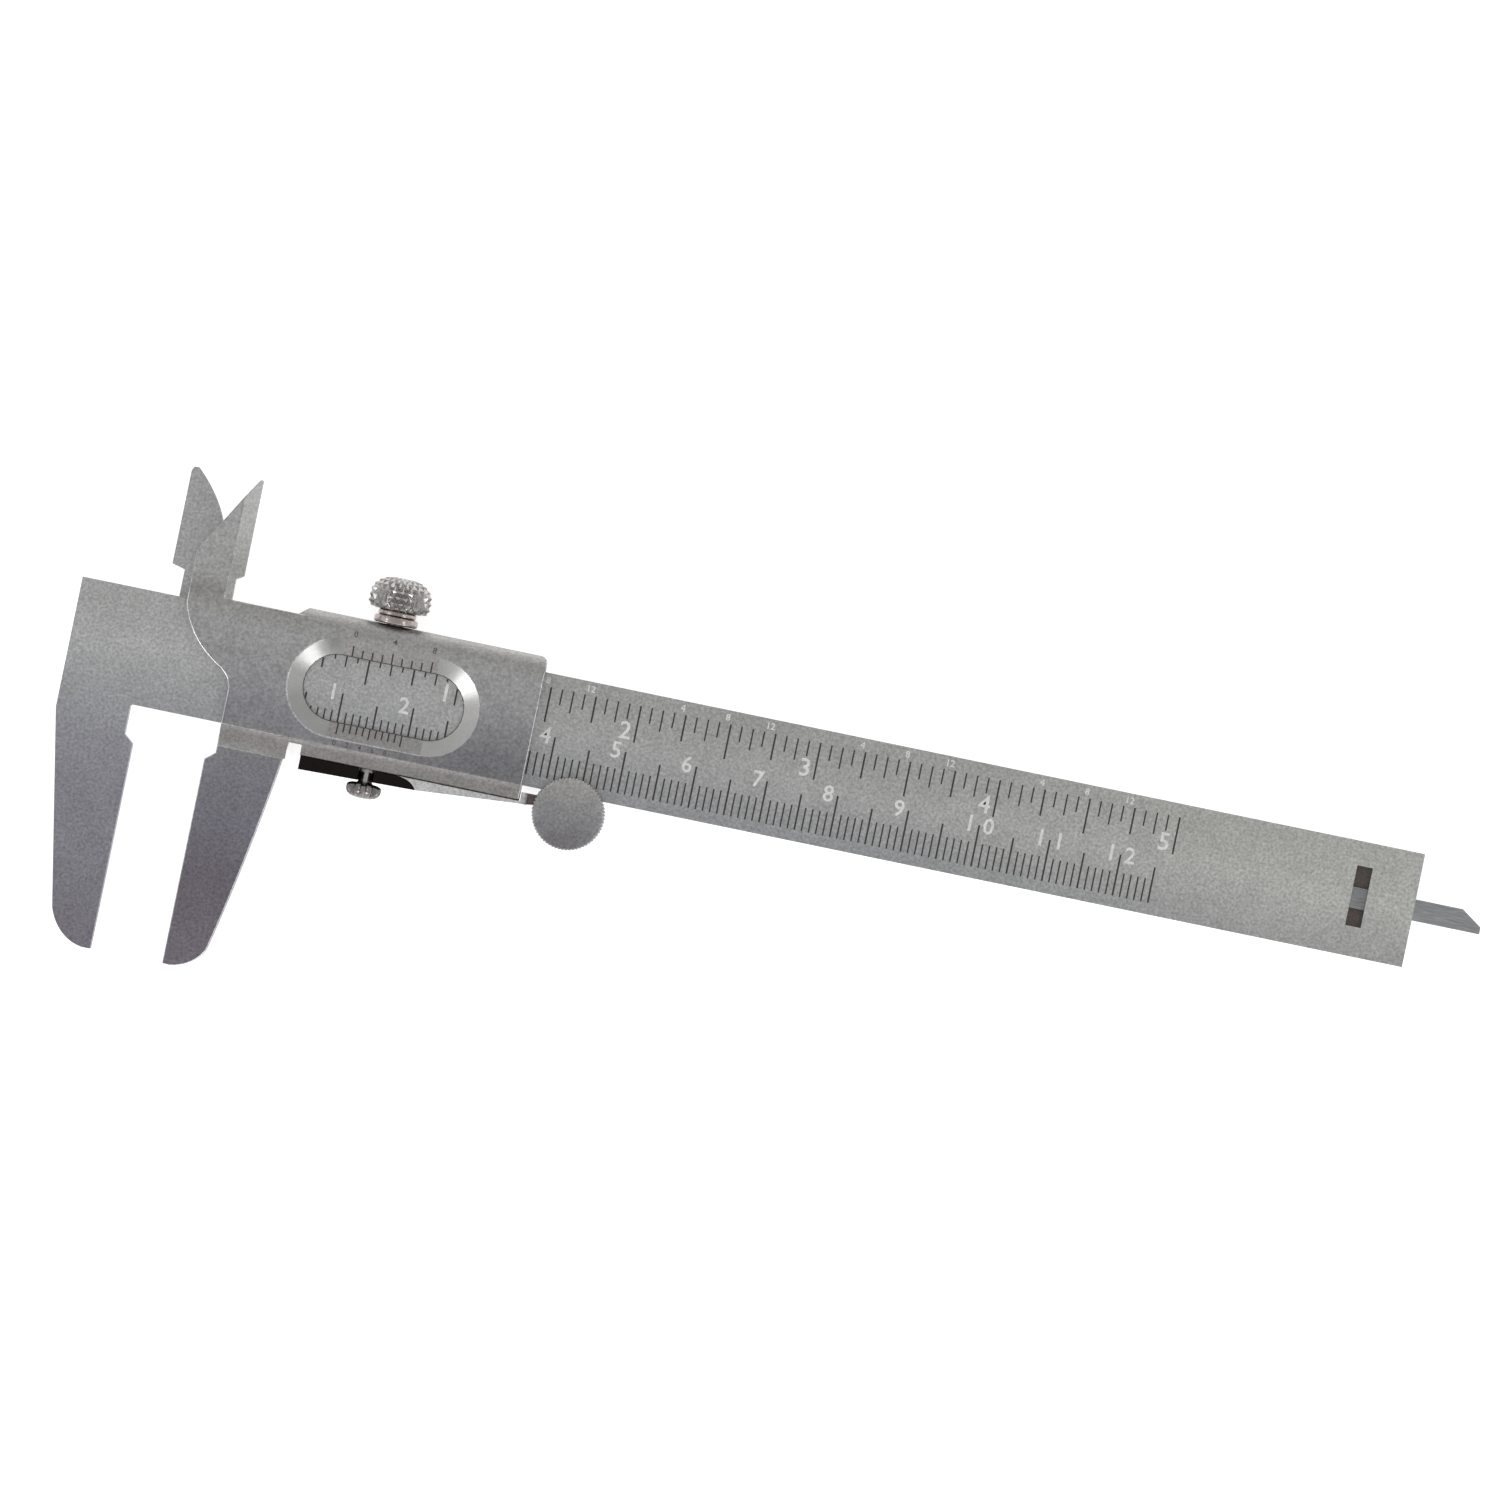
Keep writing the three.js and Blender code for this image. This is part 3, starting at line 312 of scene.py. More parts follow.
# ---------------------------------------------------------------------------
# Graduations: fine cut lines filled with black, each a thin bar let into the
# face. Millimetres along the lower edge, sixteenths of an inch along the top.
# ---------------------------------------------------------------------------
SCALE_START = 17.2     # x of the rule's zero line
INCH = 25.4
MARK_DEEP = 0.05
MARK_PROUD = 0.010
MARK_WIDE = 0.21
LONG_MARK_WIDE = 0.25


def ink(name, colour, rough):
    """Flat finish a little uneven in colour: the filling of the cut lines and figures, with their
    painted glint where bright, and also the painted shadow line at the window's edge and the
    near-black pad.
    """
    material = bpy.data.materials.new(name)
    material.use_nodes = True
    tree = material.node_tree
    shader = tree.nodes["Principled BSDF"]
    shader.inputs["Roughness"].default_value = rough
    place = tree.nodes.new("ShaderNodeTexCoord")
    uneven = tree.nodes.new("ShaderNodeTexNoise")
    uneven.inputs["Scale"].default_value = 1500.0
    tree.links.new(place.outputs["Object"], uneven.inputs["Vector"])
    tone = tree.nodes.new("ShaderNodeMix")
    tone.data_type = "RGBA"
    tone.inputs["A"].default_value = (*(0.6 * c for c in colour), 1.0)
    tone.inputs["B"].default_value = (*(1.2 * c for c in colour), 1.0)
    tree.links.new(uneven.outputs["Fac"], tone.inputs["Factor"])
    tree.links.new(tone.outputs["Result"], shader.inputs["Base Color"])
    return material


black_ink = ink("black_ink", (0.045, 0.036, 0.034), 0.6)
figure_ink_painted_glint = ink("figure_ink_painted_glint", (0.80, 0.80, 0.78), 0.5)
shadow_ink = ink("shadow_ink", (0.105, 0.093, 0.093), 0.7)


def bars(middles, ends, wide, along, up, start):
    """Straight marks on a plane. Each mark's middle is a distance along the plane's first
    direction from its start, its ends are distances along the second, and it reaches a little
    below the plane and above it. Returns corners and faces, eight and six to a mark."""
    count = len(middles)
    out = np.cross(along, up)
    corner = np.array([[-1, 0, 0], [1, 0, 0], [1, 1, 0], [-1, 1, 0],
                       [-1, 0, 1], [1, 0, 1], [1, 1, 1], [-1, 1, 1]], dtype=float)
    x = middles[:, None] + corner[None, :, 0] * wide[:, None] / 2
    y = ends[:, :1] + corner[None, :, 1] * (ends[:, 1:] - ends[:, :1])
    z = -MARK_DEEP + corner[None, :, 2] * (MARK_DEEP + MARK_PROUD) * np.ones((count, 1))
    points = (np.array(start) + x[..., None] * np.array(along)
              + y[..., None] * np.array(up) + z[..., None] * out)
    side = np.array([[0, 3, 2, 1], [4, 5, 6, 7], [0, 1, 5, 4],
                     [1, 2, 6, 5], [2, 3, 7, 6], [3, 0, 4, 7]])
    faces = side[None] + 8 * np.arange(count)[:, None, None]
    return points.reshape(-1, 3) * MM, faces.reshape(-1, 4)


def stack(parts):
    """Joins several lots of corners and faces into one."""
    shifts = np.cumsum([0] + [len(points) for points, faces in parts[:-1]])
    return (np.concatenate([points for points, faces in parts]),
            np.concatenate([faces + shift for (points, faces), shift in zip(parts, shifts)]))


def surface(name, points, faces, finish, body, slot, node=None, smooth=None):
    """Mesh piece from arrays of corners in metres and of faces, riding on a body. Edges under the
    smooth angle are shaded round; with none, every face is flat."""
    mesh = bpy.data.meshes.new(name)
    rows = faces.tolist() if isinstance(faces, np.ndarray) else faces
    mesh.from_pydata(points.tolist(), [], rows)
    mesh.materials.append(finish)
    if smooth:
        mesh.polygons.foreach_set("use_smooth", np.ones(len(mesh.polygons), dtype=bool))
        mesh.set_sharp_from_angle(angle=math.radians(smooth))
    mesh.update()
    obj = bpy.data.objects.new(name, mesh)
    scene.collection.objects.link(obj)
    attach(obj, body)
    if node:
        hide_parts(node)
    return obj


X_WAY = (1.0, 0.0, 0.0)
Y_WAY = (0.0, 1.0, 0.0)
RULE_ORIGIN = (0.0, EDGE_Y, RULE_FACE)
METRIC_LOW = 1.6       # ends of the marks above the rule's lower edge
CM_HIGH, HALF_CM_HIGH, MM_HIGH = 7.4, 6.6, 4.9
millimetres = np.arange(126)
metric_high = np.where(millimetres % 10 == 0, CM_HIGH,
                       np.where(millimetres % 5 == 0, HALF_CM_HIGH, MM_HIGH))
metric_marks = bars(
    SCALE_START + millimetres,
    np.stack([np.full(len(millimetres), METRIC_LOW), metric_high], axis=1),
    np.where(millimetres % 5 == 0, LONG_MARK_WIDE, MARK_WIDE), X_WAY, Y_WAY, RULE_ORIGIN,
)
INCH_HIGH = 14.1
INCH_LOWS = [8.9, 9.2, 10.4, 11.1]   # inches, halves, quarters, eighths
SIXTEENTH_LOW = 11.9
sixteenths = np.arange(81)
inch_low = np.select(
    [sixteenths % 16 == 0, sixteenths % 8 == 0, sixteenths % 4 == 0, sixteenths % 2 == 0],
    INCH_LOWS, SIXTEENTH_LOW,
)
inch_marks = bars(
    SCALE_START + sixteenths * INCH / 16,
    np.stack([inch_low, np.full(len(sixteenths), INCH_HIGH)], axis=1),
    np.where(sixteenths % 4 == 0, LONG_MARK_WIDE, MARK_WIDE), X_WAY, Y_WAY, RULE_ORIGIN,
)
surface("rule_graduations", *stack([metric_marks, inch_marks]), black_ink,
        "fixed_rule", "rule_steel")

# ---------------------------------------------------------------------------
# Figures on the rule: numerals stamped at each centimetre and inch, and tiny ones along the
# upper edge at each quarter inch. Their near-white colour is a painted glint on the stamped
# strokes.
# ---------------------------------------------------------------------------
FIGURE_HALF_THICK = 0.02
FIGURE_SUNK = 0.012
FIGURE_WEIGHT = 0.016  # swelling of the strokes, a share of the height
FIGURE_WELD = 1e-5
FONT_TO_FIGURE = 1.40  # font size over the height of its numerals
CM_FIGURE_Y, CM_FIGURE_HIGH, CM_FIGURE_GAP = 7.35, 2.3, 0.55
PAIR_GAP = 0.5         # each digit of a pair from the mark between them
INCH_FIGURE_Y, INCH_FIGURE_HIGH, INCH_FIGURE_GAP = 10.25, 2.5, 0.6
TINY_FIGURE_Y, TINY_FIGURE_HIGH, TINY_FIGURE_GAP = 14.95, 0.95, 0.25


def numerals(labels, place):
    """Figures as thin solids. Each label holds its text, x, y, height and side of alignment;
    place maps the flat figures' millimetres onto their face. Returns corners and faces."""
    lots = []
    for text, x, y, height, align in labels:
        curve = bpy.data.curves.new("figure", "FONT")
        curve.body = text
        curve.size = height * FONT_TO_FIGURE
        curve.align_x = align
        curve.align_y = "CENTER"
        curve.extrude = FIGURE_HALF_THICK
        curve.resolution_u = 2
        curve.offset = FIGURE_WEIGHT * height
        holder = bpy.data.objects.new("figure", curve)
        scene.collection.objects.link(holder)
        flat = bpy.data.meshes.new_from_object(
            holder.evaluated_get(bpy.context.evaluated_depsgraph_get()))
        form = bmesh.new()
        form.from_mesh(flat)
        bmesh.ops.remove_doubles(form, verts=form.verts, dist=FIGURE_WELD)
        bmesh.ops.triangulate(form, faces=form.faces)
        form.to_mesh(flat)
        form.free()
        corners = np.empty(len(flat.vertices) * 3)
        flat.vertices.foreach_get("co", corners)
        triangles = np.empty(len(flat.polygons) * 3, dtype=int)
        flat.polygons.foreach_get("vertices", triangles)
        points = place(corners.reshape(-1, 3) + np.array([x, y, 0.0])) * MM
        lots.append((points, triangles.reshape(-1, 3)))
        bpy.data.objects.remove(holder)
        bpy.data.curves.remove(curve)
        bpy.data.meshes.remove(flat)
    return stack(lots)


def on_rule(flat):
    """Figures drawn flat in the rule's own millimetres, set into its graduated face."""
    return flat + np.array([0.0, EDGE_Y, RULE_FACE - FIGURE_SUNK])


rule_labels = []
for cm in range(1, 13):
    x = SCALE_START + 10 * cm
    if cm < 10:
        rule_labels.append((str(cm), x - CM_FIGURE_GAP, CM_FIGURE_Y, CM_FIGURE_HIGH, "RIGHT"))
    else:
        rule_labels.append((str(cm)[0], x - PAIR_GAP, CM_FIGURE_Y, CM_FIGURE_HIGH, "RIGHT"))
        rule_labels.append((str(cm)[1], x + PAIR_GAP, CM_FIGURE_Y, CM_FIGURE_HIGH, "LEFT"))
for inch in range(1, 6):
    x = SCALE_START + INCH * inch - INCH_FIGURE_GAP
    rule_labels.append((str(inch), x, INCH_FIGURE_Y, INCH_FIGURE_HIGH, "RIGHT"))
for quarter in range(20):
    if quarter % 4:
        x = SCALE_START + INCH * quarter / 4 - TINY_FIGURE_GAP
        rule_labels.append(
            (str(4 * (quarter % 4)), x, TINY_FIGURE_Y, TINY_FIGURE_HIGH, "RIGHT"))
surface("rule_figures", *numerals(rule_labels, on_rule), figure_ink_painted_glint, "fixed_rule", "rule_steel")

# ---------------------------------------------------------------------------
# Keeper: a small dark plate screwed over the rod's groove at the back of the
# rule's end, with two slotted cheese-head screws.
# ---------------------------------------------------------------------------
# Painted shade: the plate is coloured dark brown so that the rule's slot in front of it reads dark.
keeper_dark_painted_shade = metal("keeper_dark_painted_shade", 0.42, (
    (20.0, (0.205, 0.180, 0.167)), (36.0, (0.200, 0.175, 0.162)),
))
nickel = metal("nickel", 0.26, (
    (13.0, (0.62, 0.60, 0.58)), (45.0, (0.62, 0.60, 0.58)),
), speckle=0.08)

softened("rod_keeper", "keeper_plate", 0.10, keeper_dark_painted_shade, "fixed_rule")
for number in (1, 2):
    softened(f"keeper_screw_{number}", f"keeper_screw_head_{number}", 0.05, nickel,
             "fixed_rule")

# ---------------------------------------------------------------------------
# Slider: steel frame with the sliding outside jaw and inside jaw in one piece.
# The window's edge is bevelled, polished round its ends and satin along it.
# ---------------------------------------------------------------------------
# Painted light and shade in the slider's colour: darker over the outside jaw and the lower part of
# the frame, painted highlight bands at the jaw's root (y 16.9) and along the top of the rounded
# lower edge (y 19.95), and a painted shade dip below the frame's top edge (y 36.2 to 38).
slider_satin_painted_light = metal("slider_satin_painted_light", 0.42, (
    (-14.0, (0.266, 0.240, 0.276)), (-6.0, (0.238, 0.214, 0.248)), (-1.0, (0.232, 0.212, 0.248)),
    (7.0, (0.270, 0.262, 0.302)), (14.0, (0.308, 0.302, 0.338)), (16.6, (0.330, 0.324, 0.354)),
    (16.9, (0.345, 0.343, 0.331)), (18.1, (0.292, 0.281, 0.271)), (19.2, (0.300, 0.290, 0.282)),
    (19.95, (0.405, 0.390, 0.382)), (20.15, (0.338, 0.333, 0.350)),
    (22.5, (0.350, 0.345, 0.370)), (28.0, (0.438, 0.436, 0.450)), (34.0, (0.488, 0.488, 0.488)),
    (36.2, (0.440, 0.436, 0.426)), (38.0, (0.385, 0.380, 0.370)), (40.0, (0.515, 0.515, 0.512)),
    (54.0, (0.550, 0.550, 0.548)),
# Painted shade patch over the lower right of the slider's face.
), corner=(
    ((26.0, grey(1.0)), (46.0, grey(0.76))),
    ((20.0, grey(1.0)), (20.2, grey(0.73)), (20.8, grey(0.72)), (31.0, grey(1.0))),
))
# Painted shade on the window's bevel: its polished ends are darker at the left end than the right,
# and its satin sides darker below than above.
bevel_polish_painted_shade = metal("bevel_polish_painted_shade", 0.33, (
    (20.0, (0.455, 0.455, 0.450)), (36.0, (0.475, 0.475, 0.470)),
), across=((31.0, grey(0.85)), (44.0, grey(1.0))), speckle=0.05, lift=0.04)
bevel_satin_painted_shade = metal("bevel_satin_painted_shade", 0.42, (
    (20.0, (0.350, 0.335, 0.335)), (36.0, (0.385, 0.376, 0.372)),
))
WINDOW_X = 22.6 + OPENING
WINDOW_Y = 8.0 + EDGE_Y
WINDOW_LONG = 22.4
WINDOW_HIGH = 9.2
WINDOW_BEVEL = 2.33
FRONT_FACE = 3.3
BEVEL_FOOT = 1.95

# Painted highlight: the slider's rolled edges get a finish far brighter than its face, brightest up
# to y 35.5 and dark again on the inside jaw above y 37.5.
edge_painted_highlight = metal("edge_painted_highlight", 0.30, (
    (-14.0, (0.50, 0.49, 0.52)), (16.0, grey(0.55)), (35.5, grey(0.72)),
    (37.5, grey(0.40)), (54.0, grey(0.38)),
), speckle=0.3)
# Painted shade: the inside jaw's slanted face is coloured darker than the frame beside it, most
# toward its tip.
jaw_bevel_painted_shade = metal("jaw_bevel_painted_shade", 0.42, (
    (38.0, (0.480, 0.480, 0.468)), (41.0, (0.410, 0.411, 0.402)),
    (54.0, (0.385, 0.386, 0.378)),
))
# Left as cut, as low x, high x, low y, high y: the steps at the frame's upper and lower
# corners, which are too short to roll, and the rim of the lock screw's hole, whose roll
# would run across the frame's own rounded edge and fold over the hole.
UPPER_STEP = (18.5, 20.7, 36.0, 39.0)
LOWER_STEP = (18.5, 24.5, 16.5, 20.6)
SCREW_HOLE_RIM = (31.0, 33.6, 37.95, 38.15)
slider_body = softened("slider_frame", "slider_body", 0.12, slider_satin_painted_light, "slider",
                       rolled=40.0, edge_finish=edge_painted_highlight,
                       leave=(UPPER_STEP, LOWER_STEP, SCREW_HOLE_RIM))
slider_body.modifiers["broken_edges"].use_clamp_overlap = False
slider_body.data.materials.append(bevel_polish_painted_shade)
slider_body.data.materials.append(bevel_satin_painted_shade)
slider_body.data.materials.append(jaw_bevel_painted_shade)
count = len(slider_body.data.polygons)
middles = np.empty(count * 3)
normals = np.empty(count * 3)
slider_body.data.polygons.foreach_get("center", middles)
slider_body.data.polygons.foreach_get("normal", normals)
middles = middles.reshape(-1, 3) / MM
normals = normals.reshape(-1, 3)
HALF_STRAIGHT = (WINDOW_LONG - WINDOW_HIGH) / 2
past_straight = np.maximum(np.abs(middles[:, 0] - WINDOW_X) - HALF_STRAIGHT, 0.0)
from_axis = np.hypot(past_straight, middles[:, 1] - WINDOW_Y)
on_bevel = (
    (from_axis > WINDOW_HIGH / 2) & (from_axis < WINDOW_HIGH / 2 + WINDOW_BEVEL)
    & (normals[:, 2] > 0.7) & (normals[:, 2] < 0.95)
    & (np.abs(middles[:, 0] - WINDOW_X) < WINDOW_LONG / 2 + WINDOW_BEVEL)
)
JAW_FROM_Y = 38.0
on_jaw_bevel = (
    (middles[:, 1] > JAW_FROM_Y) & (normals[:, 0] > 0.12)
    & (normals[:, 2] > 0.3) & (normals[:, 2] < 0.98)
)
FACE, WINDOW_ENDS, WINDOW_SIDES, JAW_SLANT = 0, 2, 3, 4   # places in the list of finishes
finish_index = np.where(on_jaw_bevel, JAW_SLANT, FACE)
window_finish = np.where(past_straight > 0.0, WINDOW_ENDS, WINDOW_SIDES)
finish_index = np.where(on_bevel, window_finish, finish_index).astype(np.int32)
slider_body.data.polygons.foreach_set("material_index", finish_index)

# ---------------------------------------------------------------------------
# Vernier: ten divisions over nine millimetres cut in the lower bevel of the
# window, eight over seven sixteenths in the upper one, with tiny figures.
# ---------------------------------------------------------------------------
VERNIER_START = SCALE_START + OPENING
SLOPE = math.atan2(FRONT_FACE - BEVEL_FOOT, WINDOW_BEVEL)
DOWN_SLOPE = (0.0, -math.cos(SLOPE), math.sin(SLOPE))
UP_SLOPE = (0.0, math.cos(SLOPE), math.sin(SLOPE))
FOOT_GAP = 0.10        # start of the marks above the bevel's foot
LONG_TENTH, SHORT_TENTH = 1.9, 1.45
LONG_EIGHTH, SHORT_EIGHTH = 1.8, 1.35
tenths = np.arange(11)
lower_marks = bars(
    -(VERNIER_START + 0.9 * tenths),
    np.stack([np.full(11, FOOT_GAP), np.where(tenths % 5 == 0, LONG_TENTH, SHORT_TENTH)], axis=1),
    np.full(11, MARK_WIDE), (-1.0, 0.0, 0.0), DOWN_SLOPE,
    (0.0, WINDOW_Y - WINDOW_HIGH / 2, BEVEL_FOOT),
)
eighths = np.arange(9)
upper_marks = bars(
    VERNIER_START + INCH * 7 / 16 / 8 * eighths,
    np.stack([np.full(9, FOOT_GAP), np.where(eighths % 4 == 0, LONG_EIGHTH, SHORT_EIGHTH)], axis=1),
    np.full(9, MARK_WIDE), X_WAY, UP_SLOPE, (0.0, WINDOW_Y + WINDOW_HIGH / 2, BEVEL_FOOT),
)
surface("vernier_graduations", *stack([lower_marks, upper_marks]), black_ink,
        "slider", "slider_steel")

# Painted shadow, a dark line in the angle at the bevel's foot: each pair is out from the edge, up
# from its foot.
EDGE_LINE = ((0.00, -0.02), (0.12, 0.050), (0.12, 0.085), (0.00, 0.018))
LINE_STEPS = 96
line_turn = np.linspace(0.0, 2.0 * np.pi, LINE_STEPS, endpoint=False)
line_out = np.stack([np.cos(line_turn), np.sin(line_turn)], axis=1)
line_middle = np.stack([WINDOW_X + HALF_STRAIGHT * np.where(line_out[:, 0] >= 0.0, 1.0, -1.0),
                        np.full(LINE_STEPS, WINDOW_Y)], axis=1)
line_grid = np.stack([np.concatenate([
    line_middle + line_out * (WINDOW_HIGH / 2 + out),
    np.full((LINE_STEPS, 1), BEVEL_FOOT + up)], axis=1)
    for out, up in EDGE_LINE])
line_row, line_step = np.arange(4)[:, None], np.arange(LINE_STEPS)[None, :]
next_row, next_step = (line_row + 1) % 4, (line_step + 1) % LINE_STEPS
line_faces = np.stack([
    line_row * LINE_STEPS + line_step, line_row * LINE_STEPS + next_step,
    next_row * LINE_STEPS + next_step, next_row * LINE_STEPS + line_step,
], axis=-1).reshape(-1, 4)
surface("window_edge_line", line_grid.reshape(-1, 3) * MM, line_faces, shadow_ink,
        "slider", "slider_steel")


def on_slider(flat):
    """Figures drawn flat in the rule's own millimetres, set into the slider's front face."""
    return flat + np.array([0.0, EDGE_Y, FRONT_FACE - FIGURE_SUNK])


grey_ink = ink("grey_ink", (0.105, 0.09, 0.10), 0.6)
LOWER_Y, LOWER_HIGH = 0.45, 0.75
UPPER_Y, UPPER_HIGH = 15.75, 0.85
lower_labels = [(str(2 * n), VERNIER_START + 1.8 * n, LOWER_Y, LOWER_HIGH, "CENTER")
                for n in range(5)]
surface("vernier_figures", *numerals(lower_labels, on_slider), grey_ink,
        "slider", "slider_steel")
upper_labels = [(str(4 * n), VERNIER_START + INCH * 7 / 32 * n, UPPER_Y, UPPER_HIGH, "CENTER")
                for n in range(3)]
surface("vernier_inch_figures", *numerals(upper_labels, on_slider), grey_ink,
        "slider", "slider_steel")

# ---------------------------------------------------------------------------
# Back plate: a flat steel cover held over the back of the slider by four
# small rivets at its corners.
# ---------------------------------------------------------------------------
plate_steel = metal("plate_steel", 0.40, ((17.0, grey(0.46)), (39.0, grey(0.52))),
                    grain=(0.6, 5.0, 3.2))
softened("slider_back_plate", "back_plate", 0.12, plate_steel, "slider")
for number in (1, 2, 3, 4):
    softened(f"back_rivet_{number}", f"plate_rivet_{number}", 0.05, nickel,
             "slider")

# ---------------------------------------------------------------------------
# Gib: a brass strip between the rule's upper edge and the slider, set by two
# headless screws in the slider's top wall.
# ---------------------------------------------------------------------------
brass = metal("brass", 0.35, ((35.0, (0.72, 0.52, 0.22)), (37.0, (0.76, 0.56, 0.25))),
              grain=(0.8, 4.0, 4.0))
gib_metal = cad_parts["gib_strip"]
gib_metal.data.materials.clear()
gib_metal.data.materials.append(brass)
for number in (1, 2):
    softened(f"gib_screw_{number}", f"gib_set_screw_{number}", 0.03, nickel,
             "slider")

# ---------------------------------------------------------------------------
# Lock screw: turned from nickelled brass and run in from above. Its crowned
# head is diamond-knurled all over its side, and its neck has two rings.
# ---------------------------------------------------------------------------
LOCK_AT = (22.1 + OPENING, 0.0)


def triangle_wave(turns):
    """Height from 0 to 1 and back for each whole turn."""
    return 1.0 - np.abs(2.0 * (turns - np.floor(turns)) - 1.0)


def turned(heights, radii, centre, axis):
    """Closed surface turned about an axis. Radii is a grid, a row for each height and a column for
    each step round; point = centre + radius times the direction of its step, at the row's height.
    The first row and the last are closed with a fan."""
    rows, columns = radii.shape
    turn = np.linspace(0.0, 2.0 * np.pi, columns, endpoint=False)[None, :]
    high = np.broadcast_to(heights[:, None], radii.shape)
    over, aside = radii * np.cos(turn), radii * np.sin(turn)
    if axis == "y":
        grid = np.stack([centre[0] + over, high, centre[1] - aside], axis=-1)
    else:
        grid = np.stack([centre[0] + over, centre[1] + aside, high], axis=-1)
    points = grid.reshape(-1, 3)
    row = np.arange(rows - 1)[:, None]
    column = np.arange(columns)[None, :]
    beside = (column + 1) % columns
    faces = np.stack([
        row * columns + column, row * columns + beside,
        (row + 1) * columns + beside, (row + 1) * columns + column,
    ], axis=-1).reshape(-1, 4).tolist()
    steps = np.arange(columns)
    after = (steps + 1) % columns
    last = (rows - 1) * columns
    tip = rows * columns
    points = np.concatenate([points, [grid[0].mean(axis=0), grid[-1].mean(axis=0)]])
    faces += np.stack([after, steps, np.full(columns, tip)], axis=1).tolist()
    faces += np.stack([last + steps, last + after, np.full(columns, tip + 1)], axis=1).tolist()
    return points * MM, faces


LOCK_TEETH = 19
LOCK_PITCH = 1.75
LOCK_KNURL = 0.58
LOCK_STEPS = LOCK_TEETH * 10
bulge = np.linspace(-1.0, 1.0, 13)[:, None]
belly = (1.0 - bulge ** 4) ** 0.5
lower_ring = np.concatenate([38.72 + 0.55 * bulge, 2.72 + 0.36 * belly], axis=1)
upper_ring = np.concatenate([39.68 + 0.34 * bulge, 2.42 + 0.26 * belly], axis=1)
lock_profile = np.concatenate([
    [[36.60, 1.20], [38.14, 1.20]], lower_ring, upper_ring, [[40.06, 2.60]],
])
head_profile = np.array([
    [40.10, 3.10], [40.22, 3.90], [40.50, 4.26], [41.00, 4.40], [42.50, 4.40],
    [43.20, 4.18], [43.85, 3.65], [44.35, 2.90], [44.62, 2.10], [44.74, 1.20],
])
head_way = np.linspace(0.0, 1.0, 44)
head_run = np.concatenate([[0.0], np.cumsum(np.hypot(*np.diff(head_profile, axis=0).T))])
head_high = np.interp(head_way * head_run[-1], head_run, head_profile[:, 0])
head_round = np.interp(head_way * head_run[-1], head_run, head_profile[:, 1])
around = np.linspace(0.0, 1.0, LOCK_STEPS, endpoint=False)[None, :] * LOCK_TEETH
climb = (head_way * head_run[-1])[:, None] / LOCK_PITCH
diamond = np.minimum(triangle_wave(around + climb), triangle_wave(around - climb))
cut_share = np.interp(head_way, [0.0, 0.06, 0.80, 0.92, 1.0], [0.0, 1.0, 1.0, 0.3, 0.0])[:, None]
head_grid = head_round[:, None] - LOCK_KNURL * cut_share * (1.0 - diamond)
neck_grid = np.repeat(lock_profile[:, 1][:, None], LOCK_STEPS, axis=1)
# Painted shade: the knurled head is coloured darker on its underside, at y 40.3, than at its crown
# and the neck.
lock_painted_shade = metal("knurled_nickel_painted_shade", 0.24, (
    (38.0, (0.46, 0.41, 0.39)), (40.0, (0.43, 0.385, 0.365)), (40.3, (0.39, 0.38, 0.37)),
    (45.0, (0.46, 0.445, 0.435)),
), speckle=0.14)
surface(
    "lock_screw_turned",
    *turned(np.concatenate([lock_profile[:, 0], head_high]), np.concatenate([neck_grid, head_grid]),
            LOCK_AT, "y"),
    lock_painted_shade, "lock_screw_body", "screw_nickel", node="lock_screw", smooth=14.0,
)

# ---------------------------------------------------------------------------
# Depth rod: a flat steel blade in the rule's back groove, riveted to the
# slider's back plate. Its free end is ground away at one corner.
# ---------------------------------------------------------------------------
rod_satin = metal("rod_satin", 0.40, (
    (26.0, (0.380, 0.392, 0.405)), (30.0, (0.380, 0.392, 0.405)),
), grain=(0.5, 5.0, 5.0))
softened("depth_rod", "rod_blade", 0.06, rod_satin, "slider")
softened("depth_rod_rivet", "rod_rivet", 0.05, nickel, "slider")

# ---------------------------------------------------------------------------
# Roller carrier: a folded steel arm under the slider, ending in a fork for the
# roller, with a near-black pad fitted in its angle.
# ---------------------------------------------------------------------------
# Painted light and shade: the arm is coloured far brighter than the other steel, a painted
# highlight along its strip, and the fork beyond x 55.2 is coloured dark brown, a painted shadow.
arm_painted_light = metal("arm_painted_light", 0.36, ((15.0, (0.86, 0.86, 0.86)), (19.0, (0.86, 0.86, 0.86))),
                   across=((54.6, grey(0.85)), (55.2, (0.22, 0.17, 0.175))))
softened("roller_carrier", "carrier_arm", 0.08, arm_painted_light, "slider")

# The pad is coloured near black, darker than any other part.
pad_near_black = ink("near_black_pad_finish", (0.009, 0.0065, 0.006), 0.80)
pad_near_black.node_tree.nodes["Principled BSDF"].inputs["Specular IOR Level"].default_value = 0.12
softened("carrier_pad", "near_black_pad", 0.12, pad_near_black, "slider")

# ---------------------------------------------------------------------------
# Carrier screw: small nickelled thumb screw from below that clamps the arm,
# with a coarse straight knurl round its head and a flared neck.
# ---------------------------------------------------------------------------
SMALL_AT = (32.6, 0.0)
SMALL_TEETH = 14
SMALL_STEPS = SMALL_TEETH * 8
SMALL_KNURL = 0.38
small_profile = np.array([   # height, radius, share of the knurl's depth
    [13.70, 0.60, 0.0], [13.74, 1.20, 0.0], [13.92, 1.75, 0.4], [14.20, 2.18, 1.0],
    [14.60, 2.44, 1.0], [15.00, 2.50, 1.0], [15.40, 2.46, 1.0], [15.62, 2.25, 0.8],
    [15.78, 1.80, 0.2], [15.84, 1.15, 0.0], [15.95, 1.00, 0.0], [16.60, 0.98, 0.0],
    [17.40, 1.00, 0.0], [19.72, 1.00, 0.0],
])
